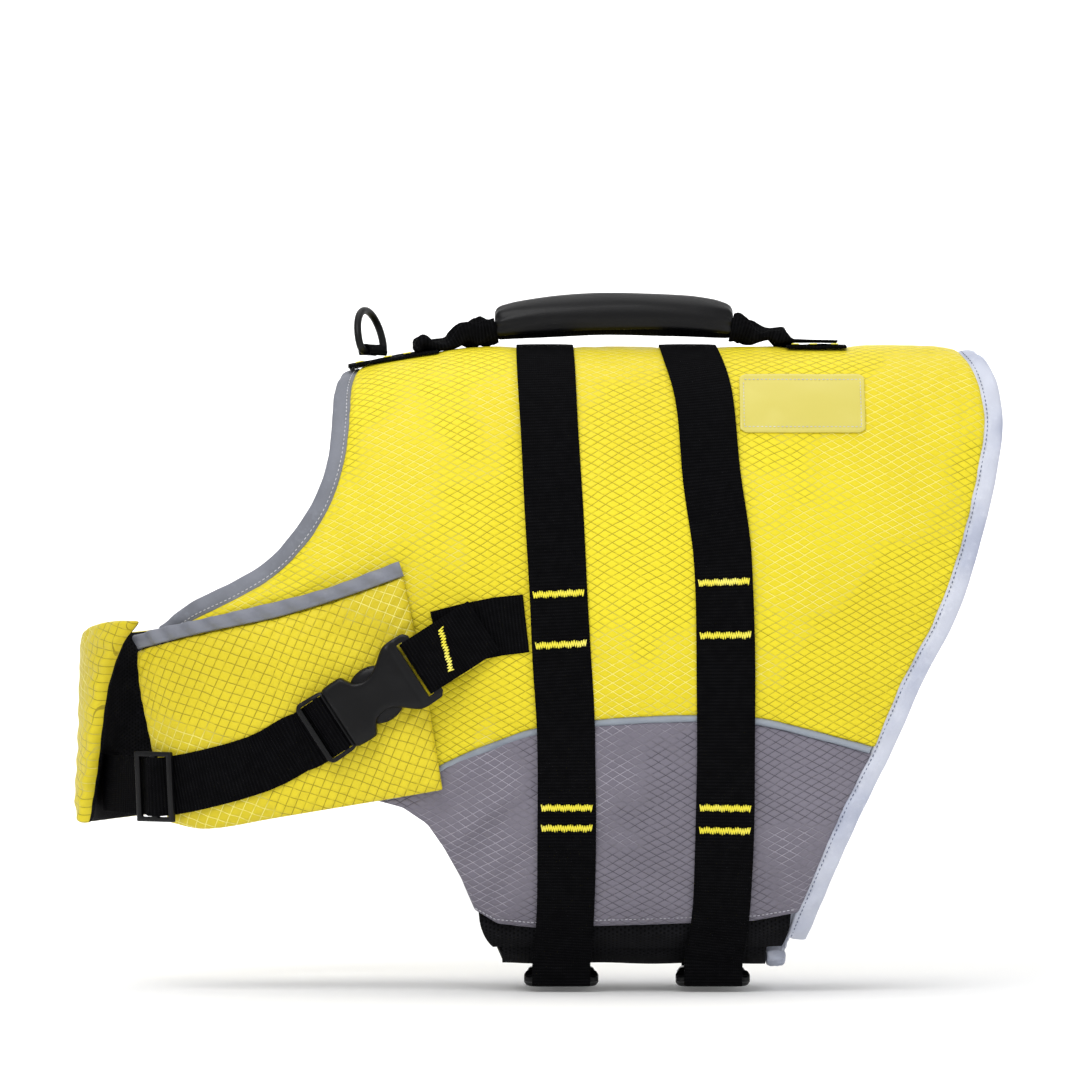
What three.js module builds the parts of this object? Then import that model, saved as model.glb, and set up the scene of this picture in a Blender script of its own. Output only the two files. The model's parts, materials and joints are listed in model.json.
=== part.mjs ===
// A dog life jacket, filled out as when it is worn, in millimetres.
// +X runs from the neck to the tail, +Z is up, and the wearer's left side is at -Y.
// The origin lies on the inner face of the back, midway between the two belly straps.
import * as THREE from 'three';

// Driving sizes
const WEBBING_WIDTH = 38;
const WEBBING_THICK = 1.8;
const CLEAR = 0.3;
const FOAM_THICK = 12;
const EDGE_THICK = 3.6;
const TAPER_WIDTH = 26;
const MESH_THICK = 3;
const TOP_Z = 12;
const BOTTOM_Z = -397;
const MIDDLE_Z = -192.5;
const NECK_BINDING_WIDTH = 12;
const TAIL_BINDING_WIDTH = 13;
const PIPING_RADIUS = 2.5;

// The body space: an oval section at each station, which closes round the chest in front
const CHEST_X = -230;
const CHEST_REACH = 105;
const CHEST_RUN = 155;
const TOP_FALL_X = -90;
const TOP_FALL = 14;
const TOP_FALL_RUN = 97;
const ROUND_ABOVE = 2.2;
const ROUND_BELOW = 2.6;
const HALF_WIDTHS = [
  { x: -230, half: 92 },
  { x: -90, half: 100 },
  { x: 60, half: 102 },
  { x: 250, half: 86 },
];

// Edges of the cloth on the left side, from above to below
const NECK_EDGE = [
  { x: -187, z: -2 }, { x: -193, z: -14 }, { x: -194, z: -37 }, { x: -197, z: -63 },
  { x: -206, z: -90 }, { x: -221, z: -113 }, { x: -239, z: -131 }, { x: -263, z: -145 },
  { x: -290, z: -158 }, { x: -309, z: -172 },
];
const FRONT_EDGE = [
  { x: -306, z: -190 }, { x: -292, z: -216 }, { x: -254, z: -250 }, { x: -208, z: -272 },
  { x: -165, z: -286 },
];
const SEAM = [
  { x: -165, z: -286 }, { x: -145, z: -281 }, { x: -117, z: -263 }, { x: -79, z: -247 },
  { x: -60, z: -241 }, { x: -19, z: -235 }, { x: 43, z: -232 }, { x: 85, z: -234 },
  { x: 119, z: -242 }, { x: 159, z: -253 },
];
const ARMHOLE = [
  { x: -165, z: -286 }, { x: -147, z: -291 }, { x: -131, z: -302 }, { x: -120, z: -318 },
  { x: -109, z: -338 }, { x: -100, z: -360 },
];
const SIDE_BOTTOM = [
  { x: -100, z: -360 }, { x: -85, z: -370 }, { x: -62, z: -373 }, { x: 9, z: -371 },
  { x: 82, z: -368 }, { x: 111, z: -362 },
];
const REAR_EDGE = [
  { x: 219, z: 11.9 }, { x: 220.5, z: 10 }, { x: 229, z: -5 }, { x: 233, z: -22 }, { x: 234, z: -40 },
  { x: 231, z: -59 }, { x: 218, z: -116 }, { x: 200, z: -167 }, { x: 182, z: -201 },
  { x: 159, z: -253 }, { x: 134, z: -305 }, { x: 111, z: -362 },
];
const SEAM_END = SEAM[SEAM.length - 1];

// Where each belly strap runs, its middle line
const STRAP_FRONT = [
  { z: 14, x: -54 }, { z: -129, x: -46 }, { z: -189, x: -43 }, { z: -243, x: -40 },
  { z: -350, x: -40 }, { z: -402, x: -43 },
];
const STRAP_REAR = [
  { z: 14, x: 40 }, { z: -20, x: 50 }, { z: -74, x: 55 }, { z: -129, x: 62 },
  { z: -239, x: 64 }, { z: -350, x: 62 }, { z: -402, x: 57 },
];

const degrees = THREE.MathUtils.degToRad;
const clamp = THREE.MathUtils.clamp;
const jacket = new THREE.Group();

const finishes = {
  yellow: new THREE.MeshStandardMaterial({ color: 0xe4d733, roughness: 0.7 }),
  grey: new THREE.MeshStandardMaterial({ color: 0x76717a, roughness: 0.75 }),
  binding: new THREE.MeshStandardMaterial({ color: 0x7d808a, roughness: 0.6 }),
  piping: new THREE.MeshStandardMaterial({ color: 0x8c96a2, roughness: 0.6 }),
  silver: new THREE.MeshStandardMaterial({ color: 0xcdd0de, roughness: 0.4 }),
  webbing: new THREE.MeshStandardMaterial({ color: 0x111113, roughness: 0.85 }),
  mesh: new THREE.MeshStandardMaterial({ color: 0x161618, roughness: 0.9 }),
  plastic: new THREE.MeshStandardMaterial({ color: 0x121214, roughness: 0.4 }),
  patch: new THREE.MeshStandardMaterial({ color: 0xb9b56a, roughness: 0.5 }),
};

// A smooth curve through the rows of a table, read as y at a given x
function readTable(rows, from, to, at) {
  const last = rows.length - 1;
  const rising = rows[last][from] > rows[0][from];
  const place = (i) => (rising ? rows[i][from] : -rows[i][from]);
  const target = rising ? at : -at;
  const slope = (i) => {
    const a = Math.max(0, i - 1);
    const b = Math.min(last, i + 1);
    return (rows[b][to] - rows[a][to]) / (place(b) - place(a));
  };
  if (target <= place(0)) return rows[0][to];
  if (target >= place(last)) return rows[last][to];
  let i = 0;
  while (target > place(i + 1)) i += 1;
  const width = place(i + 1) - place(i);
  const f = (target - place(i)) / width;
  const f2 = f * f;
  const f3 = f2 * f;
  return (2 * f3 - 3 * f2 + 1) * rows[i][to] + (f3 - 2 * f2 + f) * width * slope(i)
    + (3 * f2 - 2 * f3) * rows[i + 1][to] + (f3 - f2) * width * slope(i + 1);
}

function topLine(x) {
  const past = Math.max(0, TOP_FALL_X - x) / TOP_FALL_RUN;
  return TOP_Z - TOP_FALL * past ** 1.5;
}

function halfWidth(x) {
  if (x >= CHEST_X) return readTable(HALF_WIDTHS, 'x', 'half', x);
  const reach = clamp((CHEST_X - x) / CHEST_REACH, 0, 1);
  return HALF_WIDTHS[0].half * Math.sqrt(1 - reach * reach);
}

// How far out the side stands at a height, as a share of the half width
function fullness(x, z) {
  const rise = z - MIDDLE_Z;
  const reach = rise > 0 ? topLine(x) - MIDDLE_Z : MIDDLE_Z - BOTTOM_Z;
  const power = rise > 0 ? ROUND_ABOVE : ROUND_BELOW;
  const share = clamp(Math.abs(rise) / reach, 0, 1);
  return (1 - share ** power) ** (1 / power);
}

// A point of the outer face: x along the body, and turn in degrees from the spine, + on the left side
function bodyPoint(x, turn) {
  const sine = Math.sin(degrees(turn));
  const cosine = Math.cos(degrees(turn));
  const reach = cosine > 0 ? topLine(x) - MIDDLE_Z : MIDDLE_Z - BOTTOM_Z;
  const power = cosine > 0 ? ROUND_ABOVE : ROUND_BELOW;
  const inverse = (Math.abs(sine) / halfWidth(x)) ** power + (Math.abs(cosine) / reach) ** power;
  const radius = inverse ** (-1 / power);
  return new THREE.Vector3(x, -radius * sine, MIDDLE_Z + radius * cosine);
}

function turnAt(x, z) {
  const side = halfWidth(x) * fullness(x, z);
  return THREE.MathUtils.radToDeg(Math.atan2(side, z - MIDDLE_Z));
}

// A point of the chest surface: run is x on the left side and goes on round the front to the right side
function chestPoint(run, z) {
  if (run >= CHEST_X) return new THREE.Vector3(run, -halfWidth(run) * fullness(run, z), z);
  const bend = degrees((CHEST_X - run) * 90 / CHEST_RUN);
  if (bend > Math.PI) {
    const x = CHEST_X + (CHEST_X - run) - 2 * CHEST_RUN;
    return new THREE.Vector3(x, halfWidth(x) * fullness(x, z), z);
  }
  const x = CHEST_X - CHEST_REACH * Math.sin(bend);
  return new THREE.Vector3(x, -HALF_WIDTHS[0].half * Math.cos(bend) * fullness(x, z), z);
}

function normalOf(point, a, b) {
  const step = 0.5;
  const alongA = point(a + step, b).sub(point(a - step, b));
  const alongB = point(a, b + step).sub(point(a, b - step));
  return alongA.cross(alongB).normalize();
}

const bodyNormal = (x, turn) => normalOf(bodyPoint, x, turn).negate();
const chestNormal = (run, z) => normalOf(chestPoint, run, z);
const body = { point: bodyPoint, normal: bodyNormal };
const chest = { point: chestPoint, normal: chestNormal };

function lifted(surface, a, b, lift) {
  return surface.point(a, b).addScaledVector(surface.normal(a, b), lift);
}

function addPiece(name, finish, positions, faces) {
  const shape = new THREE.BufferGeometry();
  shape.setAttribute('position', new THREE.Float32BufferAttribute(positions, 3));
  shape.setIndex(faces);
  shape.computeVertexNormals();
  const piece = new THREE.Mesh(shape, finishes[finish]);
  piece.name = name;
  jacket.add(piece);
  return piece;
}

// The volume is positive where the faces point outwards, and otherwise the faces are turned
function facingOut(positions, faces) {
  const corner = (i) => new THREE.Vector3().fromArray(positions, 3 * i);
  let volume = 0;
  for (let f = 0; f < faces.length; f += 3) {
    volume += corner(faces[f]).dot(corner(faces[f + 1]).cross(corner(faces[f + 2])));
  }
  if (volume > 0) return faces;
  const turned = [];
  for (let f = 0; f < faces.length; f += 3) turned.push(faces[f], faces[f + 2], faces[f + 1]);
  return turned;
}

// A padded or plain panel: place(u, v) gives the two surface coordinates, and outer and inner
// give the lifts of its two faces
function addPanel(name, finish, surface, columns, rows, place, outer, inner) {
  const positions = [];
  const faces = [];
  const grid = (columns + 1) * (rows + 1);
  for (const lift of [outer, inner]) {
    for (let j = 0; j <= rows; j += 1) {
      for (let i = 0; i <= columns; i += 1) {
        const u = i / columns;
        const v = j / rows;
        const [a, b] = place(u, v);
        positions.push(...lifted(surface, a, b, lift(u, v, a, b)).toArray());
      }
    }
  }
  const at = (i, j) => j * (columns + 1) + i;
  for (let j = 0; j < rows; j += 1) {
    for (let i = 0; i < columns; i += 1) {
      const [p, q, r, s] = [at(i, j), at(i + 1, j), at(i + 1, j + 1), at(i, j + 1)];
      faces.push(p, q, r, p, r, s);
      faces.push(grid + p, grid + r, grid + q, grid + p, grid + s, grid + r);
    }
  }
  const rim = [];
  for (let i = 0; i < columns; i += 1) rim.push(at(i, 0));
  for (let j = 0; j < rows; j += 1) rim.push(at(columns, j));
  for (let i = columns; i > 0; i -= 1) rim.push(at(i, rows));
  for (let j = rows; j > 0; j -= 1) rim.push(at(0, j));
  rim.forEach((p, k) => {
    const q = rim[(k + 1) % rim.length];
    faces.push(q, p, grid + p, q, grid + p, grid + q);
  });
  return addPiece(name, finish, positions, facingOut(positions, faces));
}

// A band swept along stations { centre, side, up }: section(i) gives its corners as [sideways, up]
function addBand(name, finish, stations, section, closed = false) {
  const positions = [];
  const faces = [];
  const count = section(0).length;
  stations.forEach(({ centre, side, up }, i) => {
    for (const [sideways, upwards] of section(i)) {
      const corner = centre.clone().addScaledVector(side, sideways).addScaledVector(up, upwards);
      positions.push(...corner.toArray());
    }
  });
  const rings = stations.length;
  const spans = closed ? rings : rings - 1;
  for (let i = 0; i < spans; i += 1) {
    const next = (i + 1) % rings;
    for (let k = 0; k < count; k += 1) {
      const other = (k + 1) % count;
      const [p, q, r, s] = [i * count + k, i * count + other, next * count + other, next * count + k];
      faces.push(p, q, r, p, r, s);
    }
  }
  if (!closed) {
    const end = (rings - 1) * count;
    for (let k = 1; k < count - 1; k += 1) {
      faces.push(0, k + 1, k);
      faces.push(end, end + k, end + k + 1);
    }
  }
  return addPiece(name, finish, positions, facingOut(positions, faces));
}

// Stations along a route of surface coordinates, at a lift over the surface
function stationsOn(surface, route, lift = () => 0) {
  const points = route.map(([a, b], i) => lifted(surface, a, b, lift(i)));
  return route.map(([a, b], i) => {
    const before = points[Math.max(0, i - 1)];
    const after = points[Math.min(points.length - 1, i + 1)];
    const along = after.clone().sub(before).normalize();
    const up = surface.normal(a, b);
    const side = up.clone().cross(along).normalize();
    up.copy(along).cross(side).normalize();
    return { centre: points[i], side, up, along };
  });
}

// Stations along a free route in space, with the side direction held
function stationsFree(points, side) {
  return points.map((centre, i) => {
    const before = points[Math.max(0, i - 1)];
    const after = points[Math.min(points.length - 1, i + 1)];
    const along = after.clone().sub(before).normalize();
    const up = along.clone().cross(side).normalize();
    return { centre, side: up.clone().cross(along).normalize(), up, along };
  });
}

const flatSection = (width, low, high) => () => [
  [-width / 2, low], [width / 2, low], [width / 2, high], [-width / 2, high],
];

const roundSection = (radius, sides) => () => Array.from({ length: sides }, (_, k) => {
  const angle = (2 * Math.PI * (k + 0.5)) / sides;
  return [radius * Math.cos(angle), radius * Math.sin(angle)];
});

// A binding folded over an edge: thin at its two sides and full between them
const bindingSection = (width, middle, half) => () => [
  [-width / 2, middle], [-width / 3, middle - half], [width / 3, middle - half],
  [width / 2, middle], [width / 3, middle + half], [-width / 3, middle + half],
];

// An edge table as rows of turn and x, on the left side
function edgeByTurn(rows) {
  return rows.map(({ x, z }) => ({ x, turn: turnAt(x, z) }));
}

// The same edge moved over the surface by a distance, towards the tail where it is positive
function movedEdge(rows, distance) {
  const route = rows.map(({ x, turn }) => [x, turn]);
  return stationsOn(body, route).map(({ centre, side }) => {
    const away = side.x > 0 ? 1 : -1;
    const moved = centre.clone().addScaledVector(side, away * distance);
    const turn = Math.atan2(-moved.y, moved.z - MIDDLE_Z);
    return { x: moved.x, turn: Math.max(0, THREE.MathUtils.radToDeg(turn)) };
  });
}

const spread = (from, to, count) => Array.from({ length: count + 1 }, (_, i) => from + ((to - from) * i) / count);

// 1 well inside a panel, and falling to 0 at its edges along a quarter of an oval
function crown(distance, width) {
  const share = clamp(1 - distance / width, 0, 1);
  return Math.sqrt(1 - share * share);
}

// The neck and tail bindings run from the left side over the spine to the right side
const neckEdge = edgeByTurn(NECK_EDGE);
const rearEdge = edgeByTurn(REAR_EDGE);
rearEdge[0].turn = 0;
const NECK_END_TURN = neckEdge[neckEdge.length - 1].turn;
const REAR_END_TURN = rearEdge[rearEdge.length - 1].turn;
const rearX = (turn) => readTable(rearEdge, 'turn', 'x', Math.abs(turn));
const neckX = (turn) => readTable(neckEdge, 'turn', 'x', Math.abs(turn));

const ROWS = 20;
const FRONT_CORNER = { x: -157, z: -280.5 };
const FRONT_CORNER_TURN = turnAt(FRONT_CORNER.x, FRONT_CORNER.z);
const mirrored = (turns) => [...turns.slice(1).reverse().map((turn) => -turn), ...turns];
const neckTurns = spread(0, FRONT_CORNER_TURN, ROWS).filter((turn) => turn < NECK_END_TURN);
neckTurns.push(NECK_END_TURN);
const neckRoute = mirrored(neckTurns).map((turn) => [neckX(turn), turn]);
const neckStations = stationsOn(body, neckRoute);
neckStations.forEach((s) => s.centre.addScaledVector(s.side, (s.side.x > 0 ? 0.5 : -0.5) * NECK_BINDING_WIDTH));
addBand('neck_binding', 'binding', neckStations, bindingSection(NECK_BINDING_WIDTH, -5, 2.6));

const SEAM_GAP = PIPING_RADIUS + CLEAR;
const SIDE_SEAM_GAP = PIPING_RADIUS - 0.1;
const REAR_CORNER_TURN = turnAt(SEAM_END.x, SEAM_END.z + SEAM_GAP);
const tailTurns = [...spread(0, REAR_CORNER_TURN, ROWS), ...spread(REAR_CORNER_TURN, REAR_END_TURN, 5).slice(1)];
const tailRoute = mirrored(tailTurns).map((turn) => [rearX(turn), turn]);
const tailStations = stationsOn(body, tailRoute);
const tailShift = TAIL_BINDING_WIDTH / 2 + CLEAR;
tailStations.forEach((s) => s.centre.addScaledVector(s.side, (s.side.x > 0 ? 1 : -1) * tailShift));
addBand('tail_binding', 'silver', tailStations, bindingSection(TAIL_BINDING_WIDTH, -5, 2.8));

// The back panel, as two halves that meet on the spine: rows from the right seam to the left one
const frontRows = [
  ...neckTurns.slice(0, -1).map((turn) => ({ x: neckX(turn), turn })),
  ...edgeByTurn([NECK_EDGE[NECK_EDGE.length - 1], ...FRONT_EDGE.slice(0, -1)]),
];
const panelFront = movedEdge(frontRows, NECK_BINDING_WIDTH + 2 * CLEAR);
panelFront[0].turn = 0;
panelFront.push({ x: FRONT_CORNER.x, turn: FRONT_CORNER_TURN });
const seamZ = (x) => readTable(SEAM, 'x', 'z', x);

const seamXAt = (u) => THREE.MathUtils.lerp(FRONT_CORNER.x, rearX(REAR_CORNER_TURN), u);

function backPlace(u, v) {
  const share = Math.abs(2 * v - 1);
  const sign = v < 0.5 ? -1 : 1;
  const frontTurn = share * FRONT_CORNER_TURN;
  const rearTurn = share * REAR_CORNER_TURN;
  const frontX = readTable(panelFront, 'turn', 'x', frontTurn);
  const x = frontX + (rearX(rearTurn) - frontX) * u;
  const seamX = seamXAt(u);
  const straight = FRONT_CORNER_TURN + (REAR_CORNER_TURN - FRONT_CORNER_TURN) * u;
  const seamTurn = turnAt(seamX, seamZ(seamX) + SEAM_GAP);
  const bow = (seamTurn - straight) * share * share;
  return [x, sign * (frontTurn + (rearTurn - frontTurn) * u + bow)];
}

// Distance in millimetres from the nearest edge of a panel of a given length and height
const edgeDistance = (u, v, length, height) => Math.min(u, 1 - u) * length > Math.min(v, 1 - v) * height
  ? Math.min(v, 1 - v) * height : Math.min(u, 1 - u) * length;

const BACK_LENGTH = 400;
const BACK_GIRTH = 660;
const EDGE_MIDDLE = -5;
const EDGE_LEAN = -0.45;
const evenOut = (u) => u + (EDGE_LEAN * Math.sin(2 * Math.PI * u)) / (2 * Math.PI);
const backOuter = (u, v) => {
  const full = crown(edgeDistance(u, v, BACK_LENGTH, BACK_GIRTH), TAPER_WIDTH);
  return THREE.MathUtils.lerp(EDGE_MIDDLE + EDGE_THICK / 2, 0, full);
};
const backInner = (u, v) => {
  const full = crown(edgeDistance(u, v, BACK_LENGTH, BACK_GIRTH), TAPER_WIDTH);
  return THREE.MathUtils.lerp(EDGE_MIDDLE - EDGE_THICK / 2, -FOAM_THICK, full);
};
const COLUMNS = 20;
for (const [name, start] of [['right', 0], ['left', 0.5]]) {
  const half = (place) => (u, v) => place(evenOut(u), start + v / 2);
  addPanel(`back_panel_${name}`, 'yellow', body, COLUMNS, ROWS, half(backPlace), half(backOuter), half(backInner));
}

// The grey side panels hang below the seams, creased slantwise from the armhole
const SIDE_LENGTH = 260;
const SIDE_HEIGHT = 120;
const SIDE_TAPER = 14;
const ARMHOLE_START = 0.12;
const CLOTH_INSET = 0.6;
const CREASES = [
  { x: -118, z: -292, lean: 0.9, width: 12, depth: 3.2, run: 34 },
  { x: -92, z: -314, lean: 1.2, width: 14, depth: 2.8, run: 40 },
  { x: -66, z: -268, lean: -0.7, width: 13, depth: 2.4, run: 36 },
  { x: 8, z: -296, lean: 0.5, width: 16, depth: 2.6, run: 42 },
  { x: 30, z: -340, lean: -0.4, width: 14, depth: 2.2, run: 40 },
  { x: 98, z: -300, lean: -1.1, width: 14, depth: 2.8, run: 38 },
];

function creaseDepth(x, z) {
  return CREASES.reduce((sum, c) => {
    const length = Math.hypot(1, c.lean);
    const along = ((x - c.x) + (z - c.z) * c.lean) / length;
    const across = ((z - c.z) - (x - c.x) * c.lean) / length;
    return sum + c.depth * Math.exp(-((along / c.run) ** 2) - (across / c.width) ** 2);
  }, 0);
}

function alongRoute(rows, share) {
  const lengths = rows.map((row, i) => (i ? Math.hypot(row.x - rows[i - 1].x, row.z - rows[i - 1].z) : 0));
  const total = lengths.reduce((sum, part) => sum + part, 0);
  let left = share * total;
  let i = 1;
  while (i < rows.length - 1 && left > lengths[i]) {
    left -= lengths[i];
    i += 1;
  }
  const f = clamp(left / lengths[i], 0, 1);
  return {
    x: THREE.MathUtils.lerp(rows[i - 1].x, rows[i].x, f),
    z: THREE.MathUtils.lerp(rows[i - 1].z, rows[i].z, f),
  };
}

const REAR_GAP = 1.6;
const bottomEnd = SIDE_BOTTOM[SIDE_BOTTOM.length - 1];

function sidePlace(u, v) {
  const startX = FRONT_CORNER.x;
  const endX = seamXAt(1) - REAR_GAP;
  const topX = THREE.MathUtils.lerp(startX, endX, u);
  const top = { x: topX, z: seamZ(topX) - SIDE_SEAM_GAP };
  const bottom = alongRoute(SIDE_BOTTOM, u);
  const front = alongRoute(ARMHOLE, THREE.MathUtils.lerp(ARMHOLE_START, 1, v));
  const rearZ = THREE.MathUtils.lerp(SEAM_END.z - SIDE_SEAM_GAP, bottomEnd.z, v);
  const rear = { x: readTable(REAR_EDGE, 'z', 'x', rearZ) - REAR_GAP, z: rearZ };
  const corners = (a, b, c, d, key) => (1 - u) * (1 - v) * a[key] + u * (1 - v) * b[key]
    + (1 - u) * v * c[key] + u * v * d[key];
  const [a, b] = [{ x: startX, z: seamZ(startX) - SIDE_SEAM_GAP }, { x: endX, z: seamZ(endX) - SIDE_SEAM_GAP }];
  const blend = (key) => (1 - v) * top[key] + v * bottom[key] + (1 - u) * front[key] + u * rear[key]
    - corners(a, b, SIDE_BOTTOM[0], bottomEnd, key);
  return { x: blend('x'), z: blend('z') };
}

const GREY_FULL = 6;
const PIPING_MIDDLE = -3.2;
for (const [name, sign] of [['left', 1], ['right', -1]]) {
  const lift = (face) => (u, v, x, turn) => {
    const full = crown(edgeDistance(u, v, SIDE_LENGTH, SIDE_HEIGHT), SIDE_TAPER);
    const z = bodyPoint(x, turn).z;
    const dent = full * creaseDepth(x, z);
    return face > 0 ? THREE.MathUtils.lerp(EDGE_MIDDLE + EDGE_THICK / 2, -CLOTH_INSET, full) - dent
      : THREE.MathUtils.lerp(EDGE_MIDDLE - EDGE_THICK / 2, -CLOTH_INSET - GREY_FULL, full) - dent;
  };
  addPanel(`side_panel_${name}`, 'grey', body, COLUMNS, 8, (u, v) => {
    const { x, z } = sidePlace(evenOut(u), v);
    return [x, sign * turnAt(x, z)];
  }, lift(1), lift(-1));
  const seamRoute = spread(0, 1, COLUMNS).map((u) => {
    const x = seamXAt(evenOut(u)) - REAR_GAP * u;
    return [x, sign * turnAt(x, seamZ(x))];
  });
  addBand(`piping_${name}`, 'piping', stationsOn(body, seamRoute, () => PIPING_MIDDLE),
    roundSection(PIPING_RADIUS, 6));
}

// The belly panels: the left one is a short flap over the end of the right one
const BELLY_SEAM_GAP = 1.2;
const BELLY_START_X = -98;
const BELLY_END_X = 108;
const FLAP_END_TURN = 165.5;
const UNDER_START_TURN = 163.4;
const TUCK_TURN = 168.5;
const TUCK_RUN = 2.4;
const BELLY_DRAW = { front: 10, rear: 6 };
const sideBottomTurn = (x) => turnAt(x, readTable(SIDE_BOTTOM, 'x', 'z', x) - BELLY_SEAM_GAP);
addPanel('belly_panel_left', 'mesh', body, 16, 3, (u, v) => {
  const x = THREE.MathUtils.lerp(BELLY_START_X + BELLY_DRAW.front * v * v, BELLY_END_X - BELLY_DRAW.rear * v * v, u);
  return [x, THREE.MathUtils.lerp(sideBottomTurn(x), FLAP_END_TURN, v)];
}, () => -CLOTH_INSET, () => -CLOTH_INSET - MESH_THICK);

const underLift = (turn) => {
  const tucked = clamp((TUCK_TURN - turn) / TUCK_RUN, 0, 1);
  return -CLOTH_INSET - (MESH_THICK + CLEAR) * tucked * tucked * (3 - 2 * tucked);
};
const BELLY_INSET = 16;
const bellyInset = (v) => BELLY_INSET * Math.sin(Math.PI * Math.min(0.5, v));
addPanel('belly_panel_right', 'mesh', body, 14, 16, (u, v) => {
  const inset = bellyInset(v);
  const x = THREE.MathUtils.lerp(BELLY_START_X + inset, BELLY_END_X - inset, u);
  const start = 360 - sideBottomTurn(x);
  return [x, THREE.MathUtils.lerp(start, UNDER_START_TURN, v)];
}, (u, v, x, turn) => underLift(turn), (u, v, x, turn) => underLift(turn) - MESH_THICK);

// The reflective binding on the belly panel's rear edge
const BELLY_BINDING_WIDTH = 12;
const bindingRoute = spread(0.1, 0.86, 12).map((v) => {
  const x = BELLY_END_X - bellyInset(v) + BELLY_BINDING_WIDTH / 2 + 3 * CLEAR;
  return [x, THREE.MathUtils.lerp(360 - sideBottomTurn(BELLY_END_X), UNDER_START_TURN, v)];
});
addBand('belly_binding', 'silver', stationsOn(body, bindingRoute, () => -CLOTH_INSET - MESH_THICK / 2),
  bindingSection(BELLY_BINDING_WIDTH, 0, 2.2));

// Webbing lies on the panels, and its middle line is half its thickness over them
const WEB_GAP = 0.7;
const WEB_LIFT = WEB_GAP + WEBBING_THICK / 2;
const webSection = flatSection(WEBBING_WIDTH, -WEBBING_THICK / 2, WEBBING_THICK / 2);
const vector = (x, y, z) => new THREE.Vector3(x, y, z);

// Buckle halves: the mouth is at 0 and the bar that the webbing turns round is at the far end
const BAR_PLACE = 41;
const BUCKLE_THICK = 12;
const BAR_THICK = 4.6;
const BUCKLE_OUTLINE = [
  { along: 0.2, half: 16.5 }, { along: 7, half: 17 }, { along: 13, half: 22.5 },
  { along: 24, half: 24 }, { along: 33, half: 24 }, { along: 40, half: 23.5 }, { along: 44, half: 20 },
];
const SLOT = { from: 30.5, to: 38, half: 20 };
const THINNING = { from: 24, to: 33 };

function buckleHalf(name, frame, direction) {
  const shape = new THREE.Shape();
  const right = BUCKLE_OUTLINE.map(({ along, half }) => [along, half]);
  const left = [...right].reverse().map(([along, half]) => [along, -half]);
  [...right, ...left].forEach(([along, across], i) => (i ? shape.lineTo(along, across) : shape.moveTo(along, across)));
  shape.closePath();
  const slot = new THREE.Path();
  slot.moveTo(SLOT.from, -SLOT.half).lineTo(SLOT.to, -SLOT.half).lineTo(SLOT.to, SLOT.half)
    .lineTo(SLOT.from, SLOT.half).closePath();
  shape.holes.push(slot);
  const solid = new THREE.ExtrudeGeometry(shape, { depth: 1, bevelEnabled: false });
  solid.deleteAttribute('uv');
  solid.deleteAttribute('normal');
  const points = solid.attributes.position;
  for (let i = 0; i < points.count; i += 1) {
    const along = points.getX(i);
    const thinned = clamp((along - THINNING.from) / (THINNING.to - THINNING.from), 0, 1);
    const thick = THREE.MathUtils.lerp(BUCKLE_THICK, BAR_THICK, thinned);
    const corner = frame.at(direction * along, direction * points.getY(i), (points.getZ(i) - 0.5) * thick);
    points.setXYZ(i, corner.x, corner.y, corner.z);
  }
  solid.computeVertexNormals();
  const piece = new THREE.Mesh(solid, finishes.plastic);
  piece.name = name;
  jacket.add(piece);
}

function frameAt(centre, along, up) {
  const across = up.clone().cross(along).normalize();
  const at = (a, b, c) => centre.clone().addScaledVector(along, a).addScaledVector(across, b)
    .addScaledVector(up, c);
  return { centre, along, across, up, at };
}

// The webbing's way round a buckle bar, as places along and over the buckle
const BAR_TURN = [
  { along: 45.8, over: 3.4 }, { along: 39.6, over: 4 }, { along: 37.2, over: 3.4 }, { along: 36.4, over: 1.6 },
  { along: 36.4, over: -1.6 }, { along: 37.2, over: -3.4 }, { along: 39.6, over: -4 },
];

// Belly straps, each one length over the back, sewn down, to its buckle under the belly
const BELLY_BUCKLE_Z = -405;
const LEAVE_TURN = 160;
const LAY_TURNS = 78;
for (const [name, rows] of [['front', STRAP_FRONT], ['rear', STRAP_REAR]]) {
  const bottomX = rows[rows.length - 1].x;
  const frame = frameAt(vector(bottomX, 0, BELLY_BUCKLE_Z), vector(0, -1, 0), vector(0, 0, -1));
  buckleHalf(`belly_buckle_${name}_female`, frame, 1);
  buckleHalf(`belly_buckle_${name}_male`, frame, -1);
  const lay = spread(-LEAVE_TURN, LEAVE_TURN, LAY_TURNS).map((turn) => {
    const x = readTable(rows, 'z', 'x', bodyPoint(0, turn).z);
    return lifted(body, x, turn, WEB_LIFT);
  });
  const bend = (direction) => [
    frame.at(direction * 52, 0, -12), frame.at(direction * 48.6, 0, -1.5),
    ...BAR_TURN.map(({ along, over }) => frame.at(direction * along, 0, over)),
    frame.at(direction * 43.5, 0, -6.4), frame.at(direction * 46.5, 0, -13),
  ];
  const route = [...bend(-1).reverse(), ...lay, ...bend(1)];
  addBand(`belly_strap_${name}`, 'webbing', stationsFree(route, vector(1, 0, 0)), webSection);
}

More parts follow.
